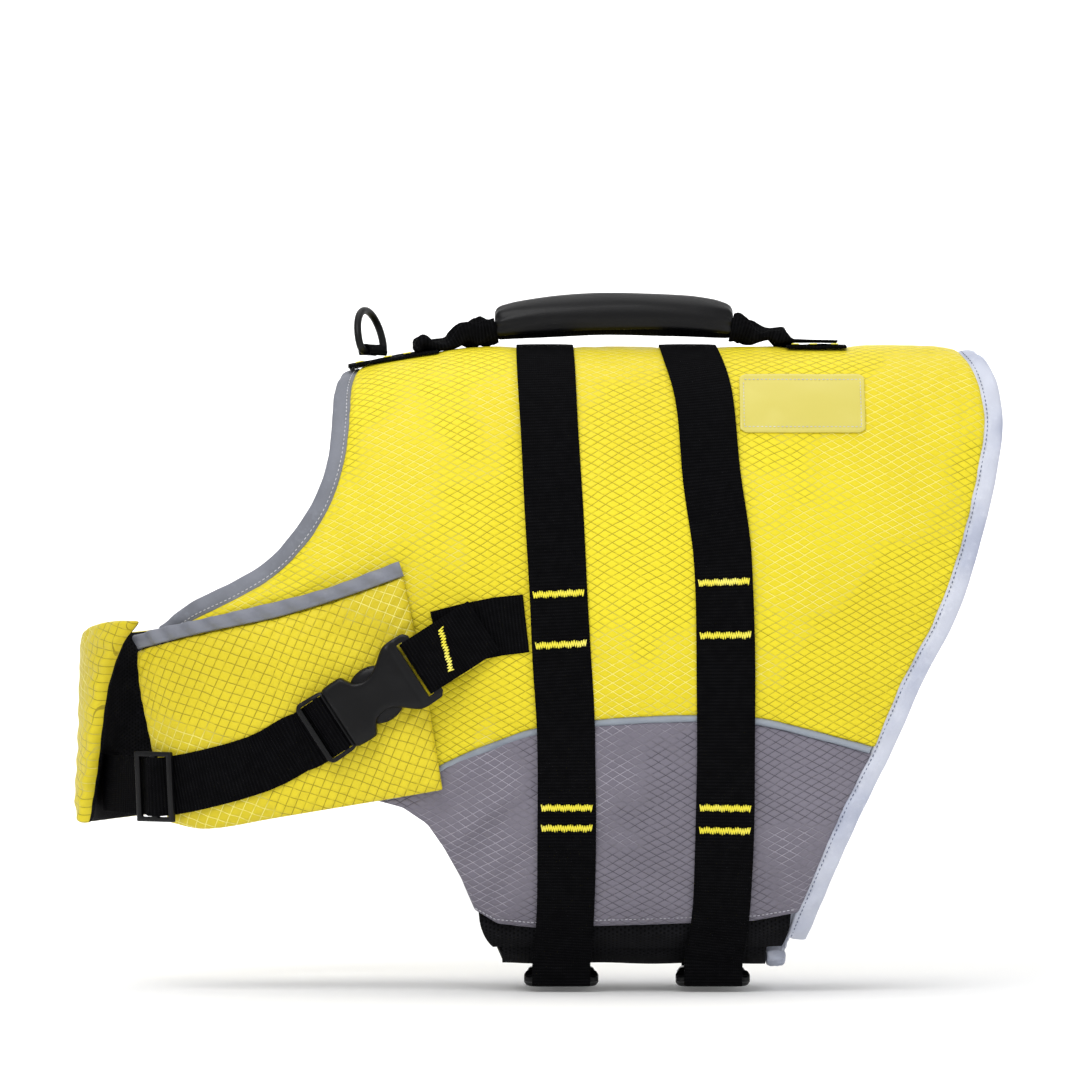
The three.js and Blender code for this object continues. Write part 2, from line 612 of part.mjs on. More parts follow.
// The spine: webbing in front, the ring in its loop, the handle and the patch behind it
const spineTop = (x) => topLine(x) + WEB_GAP + WEBBING_THICK;
const SPINE_FROM = -184;
const SPINE_TO = -124;
const SPINE_PARTS = 2;
const archSection = (width, thick, drop) => () => [
  [0, -thick / 2], [width / 2, -thick / 2 - drop], [width / 2, thick / 2 - drop],
  [0, thick / 2], [-width / 2, thick / 2 - drop], [-width / 2, -thick / 2 - drop],
];
const SPINE_DROP = 2;
addBand('spine_strip', 'webbing', stationsOn(body, spread(SPINE_FROM, SPINE_TO, SPINE_PARTS).map((x) => [x, 0]), () => WEB_LIFT),
  archSection(WEBBING_WIDTH, WEBBING_THICK, SPINE_DROP));

const RING = { x: -168, yaw: 24, lean: 12, wire: 2.5, half: 18.5, height: 28, loopWidth: 25 };
const LOOP_RADIUS = RING.wire + 0.4 + WEBBING_THICK / 2;
const ringAxis = vector(Math.sin(degrees(RING.yaw)), Math.cos(degrees(RING.yaw)), 0);
const LOOP_SEAT = 0.45;
const ringCentre = vector(RING.x, 0, spineTop(RING.x) + LOOP_RADIUS + WEBBING_THICK / 2 + LOOP_SEAT);
const loopStations = spread(0, 330, 11).map((angle) => {
  const out = vector(0, 0, 1).applyAxisAngle(ringAxis, degrees(angle));
  return { centre: ringCentre.clone().addScaledVector(out, LOOP_RADIUS), side: ringAxis, up: out };
});
addBand('ring_loop', 'webbing', loopStations, flatSection(RING.loopWidth, -WEBBING_THICK / 2, WEBBING_THICK / 2), true);

const ringUp = vector(0, 0, 1).applyAxisAngle(ringAxis, degrees(-RING.lean));
const ringFace = ringAxis.clone().cross(ringUp).normalize();
const RING_FOOT = 7;
const ringPath = [
  [-15.5, 0], [-5, 0], [5, 0], [15.5, 0], [18, 2],
  ...spread(0, 180, 10).map((angle) => [
    RING.half * Math.cos(degrees(angle)),
    RING_FOOT + (RING.height - RING_FOOT) * Math.sin(degrees(angle)),
  ]),
  [-18, 2],
];
const ringPoints = ringPath.map(([across, height]) => ringCentre.clone()
  .addScaledVector(ringAxis, across).addScaledVector(ringUp, height));
const ringStations = ringPoints.map((centre, i) => {
  const before = ringPoints[(i + ringPoints.length - 1) % ringPoints.length];
  const after = ringPoints[(i + 1) % ringPoints.length];
  const along = after.clone().sub(before).normalize();
  return { centre, side: ringFace, up: ringFace.clone().cross(along).normalize() };
});
addBand('d_ring', 'plastic', ringStations, roundSection(RING.wire, 6), true);

// The handle: a stuffed grip, and the webbing gathered at its two ends
const GRIP = [
  { x: -87, z: 26.5, radius: 12 }, { x: -72, z: 29.4, radius: 13.6 }, { x: -44, z: 32.2, radius: 15 },
  { x: -8, z: 33.4, radius: 15.2 }, { x: 35, z: 32.2, radius: 15 }, { x: 58, z: 30, radius: 14 },
  { x: 71, z: 27.5, radius: 12 },
];
const gripXs = [-87, -85, -78, -68, -54, -38, -20, -2, 16, 34, 48, 60, 67, 70, 71];
const GRIP_ROUND = 5;
const GRIP_END_SHARE = 0.72;
const gripEnd = (x) => clamp(Math.min(x - GRIP[0].x, GRIP[GRIP.length - 1].x - x) / GRIP_ROUND, 0, 1);
const gripStations = stationsFree(gripXs.map((x) => vector(x, 0, readTable(GRIP, 'x', 'z', x))), vector(0, 1, 0));
addBand('handle_grip', 'webbing', gripStations, (i) => {
  const x = gripXs[i];
  const rounding = THREE.MathUtils.lerp(GRIP_END_SHARE, 1, Math.sqrt(1 - (1 - gripEnd(x)) ** 2));
  return roundSection(readTable(GRIP, 'x', 'radius', x) * rounding, 10)();
});

// Rows along the spine: middle height, width across, thickness, and the side twist in degrees
const WEB_FRONT = [
  { x: -141, z: 11, width: 38, thick: 3, twist: 0 }, { x: -136, z: 14, width: 36, thick: 7.6, twist: 2 },
  { x: -130, z: 15, width: 33, thick: 7, twist: -2 }, { x: -122, z: 15.6, width: 29, thick: 5, twist: 4 },
  { x: -114, z: 19, width: 27, thick: 6, twist: 10 }, { x: -106, z: 25, width: 25, thick: 8, twist: 6 },
  { x: -98, z: 27.5, width: 24, thick: 8.6, twist: -5 }, { x: -89.3, z: 26.4, width: 22, thick: 11, twist: 0 },
];
const WEB_REAR = [
  { x: 73.3, z: 27.2, width: 22, thick: 10, twist: 0 }, { x: 80, z: 27, width: 23, thick: 8, twist: 14 },
  { x: 88, z: 22.5, width: 25, thick: 6.5, twist: 20 }, { x: 97, z: 19.5, width: 27, thick: 5.5, twist: 10 },
  { x: 104, z: 17.4, width: 31, thick: 3.4, twist: 3 }, { x: 112, z: 16.4, width: 35, thick: 2.4, twist: 0 },
  { x: 140, z: 16.1, width: 37, thick: 2, twist: 0 },
];
for (const [name, rows] of [['handle_web_front', WEB_FRONT], ['handle_web_rear', WEB_REAR]]) {
  const ends = [rows[0].x, rows[rows.length - 1].x];
  const xs = spread(ends[0], ends[1], 14);
  const read = (i, key) => readTable(rows, 'x', key, xs[i]);
  const stations = stationsFree(xs.map((x, i) => vector(x, 0, read(i, 'z'))), vector(0, 1, 0));
  stations.forEach((s, i) => {
    const turn = degrees(read(i, 'twist'));
    s.side.applyAxisAngle(s.along, turn);
    s.up.applyAxisAngle(s.along, turn);
  });
  addBand(name, 'webbing', stations, (i) => {
    const [half, deep] = [read(i, 'width') / 2, read(i, 'thick') / 2];
    return [[-half, 0], [-half * 0.6, -deep], [half * 0.6, -deep], [half, 0], [half * 0.6, deep], [-half * 0.6, deep]];
  });
}
const SPINE_PATCH = { from: 106, to: 146, width: 42 };
addBand('spine_patch', 'webbing', stationsOn(body, [SPINE_PATCH.from, SPINE_PATCH.to].map((x) => [x, 0]), () => WEB_LIFT),
  archSection(SPINE_PATCH.width, WEBBING_THICK, SPINE_DROP));

// The plain patch on the left side of the back
const PATCH = { x: 74, z: -8, length: 82, height: 38, low: 0.9, high: 1.9 };
addPanel('plain_patch', 'patch', body, 8, 5, (u, v) => {
  const x = PATCH.x + PATCH.length * u;
  return [x, turnAt(x, PATCH.z - PATCH.height * v)];
}, () => PATCH.high, () => PATCH.low);

// The chest flap lies on the left front of the back panel
const FLAP_THICK = 9.4;
const FLAP_LIFT = 0.6;
const FLAP_EDGE = 4;
const FLAP_LEFT = [
  { z: -183, run: -327 }, { z: -211, run: -324 }, { z: -246, run: -314 }, { z: -300, run: -299 },
];
const FLAP_RIGHT = [{ z: -135, run: -147 }, { z: -200, run: -133 }, { z: -278, run: -120 }];
const FLAP_TOP = [
  { share: 0, z: -183 }, { share: 0.4, z: -167 }, { share: 0.7, z: -153 }, { share: 1, z: -135 },
];
const FLAP_BOTTOM = [
  { share: 0, z: -300 }, { share: 0.15, z: -304 }, { share: 0.38, z: -297 }, { share: 0.78, z: -285 },
  { share: 1, z: -278 },
];
const FLAP_BINDING_WIDTH = 10;
const flapTop = (u) => readTable(FLAP_TOP, 'share', 'z', u);
const flapRun = (u, z) => THREE.MathUtils.lerp(
  readTable(FLAP_LEFT, 'z', 'run', z), readTable(FLAP_RIGHT, 'z', 'run', z), u);
const FLAP_SIZE = { length: 180, height: 130, taper: 20 };
const flapCrown = (u, v) => crown(edgeDistance(u, v, FLAP_SIZE.length, FLAP_SIZE.height), FLAP_SIZE.taper);
addPanel('chest_flap', 'yellow', chest, 16, 11, (u, v) => {
  const z = THREE.MathUtils.lerp(flapTop(u) - FLAP_BINDING_WIDTH / 2 - 2 * CLEAR, readTable(FLAP_BOTTOM, 'share', 'z', u), v);
  return [flapRun(u, z), z];
}, (u, v) => THREE.MathUtils.lerp(FLAP_EDGE + EDGE_THICK / 2, FLAP_LIFT + FLAP_THICK, flapCrown(u, v)),
(u, v) => THREE.MathUtils.lerp(FLAP_EDGE - EDGE_THICK / 2, FLAP_LIFT, flapCrown(u, v)));
const flapBindingRoute = spread(0, 1, 16).map((u) => [flapRun(u, flapTop(u)), flapTop(u)]);
addBand('flap_binding', 'binding', stationsOn(chest, flapBindingRoute, () => FLAP_EDGE + 0.8),
  bindingSection(FLAP_BINDING_WIDTH, 0, 2.4));

// The chest wing comes from the right side round the front, outside the flap's webbing
const WING_THICK = 13;
const bendRun = (bend) => CHEST_X - (bend * CHEST_RUN) / 90;
const WING_FREE = [
  { z: -168, bend: 46 }, { z: -183, bend: 55 }, { z: -210, bend: 64 }, { z: -236, bend: 68 },
  { z: -270, bend: 72 }, { z: -303, bend: 80 },
];
const WING_REAR = [{ z: -135, run: -623 }, { z: -278, run: -650 }];
const WING_TOP = [
  { share: 0, z: -169 }, { share: 0.06, z: -172 }, { share: 0.13, z: -190 }, { share: 0.2, z: -200 },
  { share: 0.3, z: -192 }, { share: 0.45, z: -181 }, { share: 0.7, z: -162 }, { share: 1, z: -135 },
];
const WING_BOTTOM = [
  { share: 0, z: -303 }, { share: 0.15, z: -303 }, { share: 0.4, z: -297 }, { share: 0.7, z: -292 },
  { share: 1, z: -278 },
];
const WING_LIFTS = [
  { bend: 40, low: 12 }, { bend: 60, low: 13 }, { bend: 100, low: 13 }, { bend: 122, low: 10 },
  { bend: 145, low: 3 }, { bend: 165, low: 0.8 }, { bend: 400, low: 0.8 },
];
const FLARE = { fromZ: -200, fall: 100, lift: 4, bend: 120, run: 60 };
const wingLow = (run, z) => {
  const flare = clamp((FLARE.fromZ - z) / FLARE.fall, 0, 1);
  return readTable(WING_LIFTS, 'bend', 'low', ((CHEST_X - run) * 90) / CHEST_RUN)
    + FLARE.lift * flare * clamp((run - bendRun(FLARE.bend)) / FLARE.run, 0, 1);
};
const WING_SIZE = { length: 380, height: 120, taper: 18, high: 0.8, low: 0.3 };
const wingCrown = (u, v) => crown(edgeDistance(u, v, WING_SIZE.length, WING_SIZE.height), WING_SIZE.taper);
const PUCKERS = { count: 9, depth: 1.1, reach: 0.12 };
const pucker = (u, v) => PUCKERS.depth * Math.cos(2 * Math.PI * PUCKERS.count * v) * Math.exp(-u / PUCKERS.reach);
addPanel('chest_wing', 'yellow', chest, 26, 10, (u, v) => {
  const z = THREE.MathUtils.lerp(readTable(WING_TOP, 'share', 'z', u), readTable(WING_BOTTOM, 'share', 'z', u), v);
  const free = bendRun(readTable(WING_FREE, 'z', 'bend', z));
  return [THREE.MathUtils.lerp(free, readTable(WING_REAR, 'z', 'run', z), u), z];
}, (u, v, run, z) => wingLow(run, z) + THREE.MathUtils.lerp(WING_THICK * WING_SIZE.high, WING_THICK, wingCrown(u, v)) + pucker(u, v),
(u, v, run, z) => wingLow(run, z) + THREE.MathUtils.lerp(WING_THICK * WING_SIZE.low, 0, wingCrown(u, v)));

// The chest buckle lies on the flap, with its length rising to the right
const CHEST_BUCKLE = { x: -167, z: -219, rise: 33, lift: 17.4 };
const buckleUp = chestNormal(CHEST_BUCKLE.x, CHEST_BUCKLE.z);
const level = vector(1, 0, 0).addScaledVector(buckleUp, -buckleUp.x).normalize();
const buckleAlong = level.clone().applyAxisAngle(buckleUp, degrees(CHEST_BUCKLE.rise));
const chestFrame = frameAt(lifted(chest, CHEST_BUCKLE.x, CHEST_BUCKLE.z, CHEST_BUCKLE.lift), buckleAlong, buckleUp);
buckleHalf('chest_buckle_female', chestFrame, 1);
buckleHalf('chest_buckle_male', chestFrame, -1);

// The anchor webbing is sewn on the panel, and a loop of webbing holds the buckle to it
const ANCHOR = [{ x: -66, z: -170 }, { x: -84, z: -172 }, { x: -104, z: -176 }, { x: -124, z: -181 }];
addBand('chest_anchor', 'webbing', stationsOn(chest, ANCHOR.map(({ x, z }) => [x, z]), () => WEB_LIFT), webSection);
const LOOP_IN = [
  { along: 88, over: -12.9 }, { along: 78, over: -12.6 }, { along: 70, over: -10.8 },
  { along: 62, over: -7.5 }, { along: 53, over: -0.5 },
];
const LOOP_OUT = [
  { along: 46, over: -5.2 }, { along: 54, over: -8.6 }, { along: 62, over: -12.2 }, { along: 68, over: -13.1 },
];
const loopRoute = [...LOOP_IN, ...BAR_TURN, ...LOOP_OUT].map(({ along, over }) => chestFrame.at(along, 0, over));
addBand('chest_loop', 'webbing', stationsFree(loopRoute, chestFrame.across), webSection);

// The chest strap: turned round the buckle's bar, along the flap, through the slider, into the wing
const SLIDER_RUN = -302;
const SLIDER_Z = -276;
const STRAP_ROUTE = [
  { run: -214, z: -247, lift: 11.6 }, { run: -226, z: -254, lift: 11.6 }, { run: -240, z: -261, lift: 11.6 },
  { run: -254, z: -266, lift: 11.6 }, { run: -268, z: -270, lift: 11.6 }, { run: -280, z: -273, lift: 11.6 },
  { run: -292.9, z: -275.6, lift: 11.4 }, { run: -299.6, z: -276, lift: 18.6 }, { run: -304.4, z: -276, lift: 18.6 },
  { run: -311.1, z: -276, lift: 11.4 }, { run: -326, z: -276, lift: 11.2 }, { run: -342, z: -276, lift: 11.2 },
  { run: -358, z: -276, lift: 11.2 }, { run: -374, z: -276, lift: 11.2 }, { run: -390, z: -276, lift: 11.2 },
  { run: -404, z: -276, lift: 11.2 }, { run: -418, z: -276, lift: 10.6 },
];
const STRAP_TAIL = [{ along: -63, over: -3.3 }, { along: -54, over: -1.0 }];
const STRAP_AFTER = [{ along: -44, over: -4.6 }, { along: -50, over: -5.6 }];
const tail = [...STRAP_TAIL, ...BAR_TURN.map((row) => ({ ...row, along: -row.along })), ...STRAP_AFTER]
  .map(({ along, over }) => chestFrame.at(along, 0, over));
const surfaceStations = stationsOn(chest, STRAP_ROUTE.map(({ run, z }) => [run, z]), (i) => STRAP_ROUTE[i].lift);
const strapPoints = [...tail, ...surfaceStations.map((s) => s.centre)];
const strapSides = [...tail.map(() => chestFrame.across.clone()), ...surfaceStations.map((s) => s.side)];
const strapStations = strapPoints.map((centre, i) => {
  const before = strapPoints[Math.max(0, i - 1)];
  const after = strapPoints[Math.min(strapPoints.length - 1, i + 1)];
  const along = after.clone().sub(before).normalize();
  const sign = Math.sign(strapSides[i].dot(chestFrame.across)) || 1;
  const up = along.clone().cross(strapSides[i].clone().multiplyScalar(sign)).normalize();
  return { centre, up, side: up.clone().cross(along).normalize() };
});
addBand('chest_strap', 'webbing', strapStations, webSection);

// The slider: a frame with a middle bar, which the strap passes under, over and under
const SLIDER = { length: 31, width: 46, bar: 4, middle: 5, thick: 3.2, rim: 3.2, rimStep: 0.3, lift: 14.9 };
const sliderUp = chestNormal(SLIDER_RUN, SLIDER_Z);
const sliderAlong = sliderUp.clone().cross(vector(0, 0, 1)).normalize();
const sliderFrame = frameAt(lifted(chest, SLIDER_RUN, SLIDER_Z, SLIDER.lift), sliderAlong, sliderUp);
const sliderShape = new THREE.Shape();
const [halfLong, halfWide] = [SLIDER.length / 2, SLIDER.width / 2];
[[-1, -0.85], [-0.8, -1], [0.8, -1], [1, -0.85], [1, 0.85], [0.8, 1], [-0.8, 1], [-1, 0.85]]
  .forEach(([a, b], i) => (i ? sliderShape.lineTo(a * halfLong, b * halfWide) : sliderShape.moveTo(a * halfLong, b * halfWide)));
sliderShape.closePath();
for (const side of [-1, 1]) {
  const hole = new THREE.Path();
  const [near, far] = [(side * SLIDER.middle) / 2, side * (halfLong - SLIDER.bar)];
  const rim = halfWide - SLIDER.rim - (side > 0 ? SLIDER.rimStep : 0);
  hole.moveTo(near, -rim).lineTo(far, -rim).lineTo(far, rim).lineTo(near, rim).closePath();
  sliderShape.holes.push(hole);
}
const sliderSolid = new THREE.ExtrudeGeometry(sliderShape, { depth: SLIDER.thick, bevelEnabled: false });
const sliderPoints = sliderSolid.attributes.position;
for (let i = 0; i < sliderPoints.count; i += 1) {
  const corner = sliderFrame.at(sliderPoints.getX(i), sliderPoints.getY(i), sliderPoints.getZ(i) - SLIDER.thick / 2);
  sliderPoints.setXYZ(i, corner.x, corner.y, corner.z);
}
const slider = new THREE.Mesh(sliderSolid, finishes.plastic);
slider.name = 'chest_slider';
jacket.add(slider);

export default jacket;
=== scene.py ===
import json
import math

import bpy
import numpy as np
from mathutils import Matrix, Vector
from mathutils.bvhtree import BVHTree

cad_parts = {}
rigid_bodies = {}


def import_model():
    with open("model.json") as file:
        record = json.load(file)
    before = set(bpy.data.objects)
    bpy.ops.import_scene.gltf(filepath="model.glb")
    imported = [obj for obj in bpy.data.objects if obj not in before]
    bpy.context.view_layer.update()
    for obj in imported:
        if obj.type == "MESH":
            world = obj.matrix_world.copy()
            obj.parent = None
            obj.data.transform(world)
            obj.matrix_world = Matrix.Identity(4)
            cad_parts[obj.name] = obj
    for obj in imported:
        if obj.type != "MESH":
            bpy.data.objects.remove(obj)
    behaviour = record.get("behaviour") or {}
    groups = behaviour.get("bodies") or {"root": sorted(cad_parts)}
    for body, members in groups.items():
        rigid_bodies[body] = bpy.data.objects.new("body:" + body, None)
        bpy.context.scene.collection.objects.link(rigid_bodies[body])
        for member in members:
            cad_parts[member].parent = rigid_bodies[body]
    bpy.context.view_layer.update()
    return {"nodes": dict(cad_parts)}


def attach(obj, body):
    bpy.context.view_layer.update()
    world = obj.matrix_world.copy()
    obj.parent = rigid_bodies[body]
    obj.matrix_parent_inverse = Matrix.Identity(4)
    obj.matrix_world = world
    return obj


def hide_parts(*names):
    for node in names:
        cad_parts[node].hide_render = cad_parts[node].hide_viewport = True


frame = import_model()

# %% [markdown]
# A dog life jacket, filled out as when it is worn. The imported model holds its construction: every
# panel, strap and buckle is already where it belongs. This lesson gives each of them its cloth,
# foam, webbing or plastic. Soft pieces are made again as finer meshes in the place of their solids.

# %% Small helpers
MM = 0.001
JACKET = "jacket"
RING = "ring"
rng = np.random.default_rng(7)


def only(*pieces):
    """Select these pieces and nothing else."""
    bpy.ops.object.select_all(action="DESELECT")
    for piece in pieces:
        piece.select_set(True)
    bpy.context.view_layer.objects.active = pieces[0]


def named(name):
    """Name the new primitive, and its mesh with it."""
    piece = bpy.context.object
    piece.name = name
    piece.data.name = name
    return piece


def points_of(piece):
    flat = np.empty(len(piece.data.vertices) * 3, np.float32)
    piece.data.vertices.foreach_get("co", flat)
    return flat.reshape(-1, 3).astype(float)


def set_points(piece, points):
    piece.data.vertices.foreach_set("co", np.asarray(points, np.float32).ravel())
    piece.data.update()


def apply_modifiers(piece):
    only(piece)
    for modifier in list(piece.modifiers):
        bpy.ops.object.modifier_apply(modifier=modifier.name)


def subdivide(piece, levels):
    smoother = piece.modifiers.new("smoother", "SUBSURF")
    smoother.levels = levels
    smoother.render_levels = levels
    apply_modifiers(piece)


def smooth(piece, angle=40):
    only(piece)
    bpy.ops.object.shade_smooth_by_angle(angle=math.radians(angle))


def place_applied(piece):
    """Put a primitive's place into its mesh, so that its object sits at the origin."""
    only(piece)
    bpy.ops.object.transform_apply(location=True, rotation=True, scale=True)


def joined(name, pieces):
    only(*pieces)
    if len(pieces) > 1:
        bpy.ops.object.join()
    return named(name)


def face_out(piece):
    only(piece)
    bpy.ops.object.mode_set(mode="EDIT")
    bpy.ops.mesh.select_all(action="SELECT")
    bpy.ops.mesh.normals_make_consistent(inside=False)
    bpy.ops.object.mode_set(mode="OBJECT")


# %% [markdown]
# The jacket has an oval section that closes round the chest in front. Every panel lies on this
# form, so it is written once as functions of two numbers: a place along the body and a turn from
# the spine. A mesh could be pulled over a sculpted form instead, but then seams would not meet.

# %% The body form that the cloth lies on
TOP_Z = 12 * MM
BOTTOM_Z = -397 * MM
MIDDLE_Z = -192.5 * MM
CHEST_X = -230 * MM
CHEST_REACH = 105 * MM
CHEST_RUN = 155 * MM
HALF_WIDTHS = [(-230, 92), (-90, 100), (60, 102), (250, 86)]
ROUND_ABOVE = 2.2
ROUND_BELOW = 2.6


def read(rows, at, key=0, value=1, unit=MM):
    """Read a smooth curve through the rows of a table, given in millimetres, at many places."""
    table = np.array(rows, float)
    x = table[:, key] * unit
    y = table[:, value] * unit
    if x[0] > x[-1]:
        x = x[::-1]
        y = y[::-1]
    slope = np.empty(len(x))
    slope[1:-1] = (y[2:] - y[:-2]) / (x[2:] - x[:-2])
    slope[0] = (y[1] - y[0]) / (x[1] - x[0])
    slope[-1] = (y[-1] - y[-2]) / (x[-1] - x[-2])
    at = np.clip(np.asarray(at, float), x[0], x[-1])
    i = np.clip(np.searchsorted(x, at) - 1, 0, len(x) - 2)
    width = x[i + 1] - x[i]
    f = (at - x[i]) / width
    return (
        (2 * f**3 - 3 * f**2 + 1) * y[i]
        + (f**3 - 2 * f**2 + f) * width * slope[i]
        + (3 * f**2 - 2 * f**3) * y[i + 1]
        + (f**3 - f**2) * width * slope[i + 1]
    )


def top_line(x):
    past = np.maximum(0, -90 * MM - x) / (97 * MM)
    return TOP_Z - 14 * MM * past**1.5


def half_width(x):
    straight = read(HALF_WIDTHS, x)
    reach = np.clip((CHEST_X - x) / CHEST_REACH, 0, 1)
    return np.where(x >= CHEST_X, straight, 92 * MM * np.sqrt(1 - reach**2))


def fullness(x, z):
    rise = z - MIDDLE_Z
    above = rise > 0
    reach = np.where(above, top_line(x) - MIDDLE_Z, MIDDLE_Z - BOTTOM_Z)
    power = np.where(above, ROUND_ABOVE, ROUND_BELOW)
    return (1 - np.clip(np.abs(rise) / reach, 0, 1) ** power) ** (1 / power)


def body_point(x, turn):
    sine = np.sin(np.radians(turn))
    cosine = np.cos(np.radians(turn))
    reach = np.where(cosine > 0, top_line(x) - MIDDLE_Z, MIDDLE_Z - BOTTOM_Z)
    power = np.where(cosine > 0, ROUND_ABOVE, ROUND_BELOW)
    inverse = (np.abs(sine) / half_width(x)) ** power + (np.abs(cosine) / reach) ** power
    radius = inverse ** (-1 / power)
    return np.stack([x + 0 * radius, -radius * sine, MIDDLE_Z + radius * cosine], -1)


def chest_point(run, z):
    bend = np.radians((CHEST_X - run) * 90 / CHEST_RUN)
    front = CHEST_X - CHEST_REACH * np.sin(np.clip(bend, 0, np.pi))
    right = bend > np.pi
    x = np.where(run >= CHEST_X, run, np.where(right, 2 * CHEST_X - 2 * CHEST_RUN - run, front))
    side = np.where(run >= CHEST_X, -half_width(x), np.where(right, half_width(x), 0))
    nose = (run < CHEST_X) & ~right
    side = np.where(nose, -92 * MM * np.cos(bend), side)
    return np.stack([x, side * fullness(x, z), z + 0 * x], -1)


def normals_of(point, a, b, sign):
    step_a = 0.5 * MM
    step_b = 0.5 if point is body_point else 0.5 * MM
    along_a = point(a + step_a, b) - point(a - step_a, b)
    along_b = point(a, b + step_b) - point(a, b - step_b)
    normal = sign * np.cross(along_a, along_b)
    return normal / np.linalg.norm(normal, axis=-1, keepdims=True)


def on_body(x, turn, lift=0.0):
    lift = np.asarray(lift, float)[..., None]
    return body_point(x, turn) + lift * normals_of(body_point, x, turn, -1)


def on_chest(run, z, lift=0.0):
    lift = np.asarray(lift, float)[..., None]
    return chest_point(run, z) + lift * normals_of(chest_point, run, z, 1)


def turn_at(x, z):
    return np.degrees(np.arctan2(half_width(x) * fullness(x, z), z - MIDDLE_Z))


TURNS = np.linspace(-200, 200, 1601)
RING_POINTS = body_point(np.zeros_like(TURNS), TURNS)
GIRTH = np.concatenate([[0], np.cumsum(np.linalg.norm(np.diff(RING_POINTS, axis=0), axis=1))])
GIRTH -= np.interp(0, TURNS, GIRTH)
whole_girth = np.interp(180, TURNS, GIRTH) - np.interp(-180, TURNS, GIRTH)
print("girth of the body form, mm:", round(whole_girth / MM))


def girth_of(turn):
    """Distance round the body from the spine, in metres."""
    return np.interp(turn, TURNS, GIRTH)


# %% [markdown]
# These tables are the edges of the cloth on the left side, from above to below. They are the same
# named sizes that the construction uses, so the finer cloth meets the same seams.

# %% Edges, seams and the ways of the straps
NECK_EDGE = [
    (-187, -2), (-193, -14), (-194, -37), (-197, -63), (-206, -90), (-221, -113), (-239, -131),
    (-263, -145), (-290, -158), (-309, -172),
]
FRONT_EDGE = [(-306, -190), (-292, -216), (-254, -250), (-208, -272)]
SEAM = [
    (-165, -286), (-145, -281), (-117, -263), (-79, -247), (-60, -241), (-19, -235), (43, -232),
    (85, -234), (119, -242), (159, -253),
]
ARMHOLE = [(-165, -286), (-147, -291), (-131, -302), (-120, -318), (-109, -338), (-100, -360)]
SIDE_BOTTOM = [(-100, -360), (-85, -370), (-62, -373), (9, -371), (82, -368), (111, -362)]
REAR_EDGE = [
    (219, 11.9), (220.5, 10), (229, -5), (233, -22), (234, -40), (231, -59), (218, -116), (200, -167),
    (182, -201), (159, -253), (134, -305), (111, -362),
]
STRAP_FRONT = [(14, -54), (-129, -46), (-189, -43), (-243, -40), (-350, -40), (-402, -43)]
STRAP_REAR = [(14, 40), (-20, 50), (-74, 55), (-129, 62), (-239, 64), (-350, 62), (-402, 57)]
SEAM_GAP = 2.2 * MM


def by_turn(rows):
    table = np.array(rows, float) * MM
    turns = turn_at(table[:, 0], table[:, 1])
    return list(zip(turns, table[:, 0]))


neck_rows = by_turn(NECK_EDGE)
rear_rows = by_turn(REAR_EDGE)
rear_rows[0] = (0.0, rear_rows[0][1])


def read_turn(rows, turn):
    return read(rows, np.abs(turn), unit=1)


def rear_x(turn):
    return read_turn(rear_rows, turn)


def moved_edge(rows, distance):
    """The same edge, moved over the body by a distance towards the tail."""
    turns = np.array([row[0] for row in rows])
    x = np.array([row[1] for row in rows])
    points = body_point(x, turns)
    along = np.gradient(points, axis=0)
    side = np.cross(normals_of(body_point, x, turns, -1), along)
    side /= np.linalg.norm(side, axis=1, keepdims=True)
    side *= np.sign(side[:, :1])
    moved = points + distance * side
    turned = np.degrees(np.arctan2(-moved[:, 1], moved[:, 2] - MIDDLE_Z))
    return list(zip(np.maximum(turned, 0), moved[:, 0]))


FRONT_CORNER = (-157 * MM, -280.5 * MM)
FRONT_CORNER_TURN = float(turn_at(*FRONT_CORNER))
REAR_CORNER_TURN = float(turn_at(159 * MM, -253 * MM + SEAM_GAP))
neck_turns = np.linspace(0, neck_rows[-1][0], 14)[:-1]
front_rows = [(t, float(read_turn(neck_rows, t))) for t in neck_turns]
front_rows += by_turn([NECK_EDGE[-1], *FRONT_EDGE])
panel_front = moved_edge(front_rows, 10.6 * MM)
panel_front[0] = (0.0, panel_front[0][1])
panel_front.append((FRONT_CORNER_TURN, FRONT_CORNER[0]))


def seam_x(u):
    return FRONT_CORNER[0] + (rear_x(REAR_CORNER_TURN) - FRONT_CORNER[0]) * u


def strap_distance(x, z):
    """Distance from the middle line of the nearer belly strap."""
    return np.minimum(np.abs(x - read(STRAP_FRONT, z)), np.abs(x - read(STRAP_REAR, z)))


def crown(distance, width):
    """0 at an edge and 1 well inside it, along a quarter of an oval."""
    share = np.clip(1 - distance / width, 0, 1)
    return np.sqrt(1 - share**2)


WAVES = [
    (rng.uniform(18, 60), rng.uniform(18, 60), rng.uniform(0, 2 * math.pi), rng.uniform(0, 2 * math.pi))
    for _ in range(14)
]


def ripple(a, b, scale=1.0):
    """Soft uneven waves over a cloth, from -1 to 1."""
    total = np.zeros(np.broadcast(a, b).shape)
    for wave_a, wave_b, start, turn in WAVES:
        total += np.sin(a * wave_a / scale + start) * np.sin(b * wave_b / scale + turn)
    return total / 5


# %% [markdown]
# A cloth panel starts as a flat grid, as cut cloth starts flat, and each of its points is then laid
# on the body form. The grid keeps a UV map in real metres along the cloth, so a woven pattern
# keeps its size where the cloth bends. Foam panels are two such sheets, bridged round their rim.


# %% Laying a flat grid on the body
def flat_grid(name, columns, rows):
    bpy.ops.mesh.primitive_grid_add(x_subdivisions=columns, y_subdivisions=rows, size=1)
    return named(name)

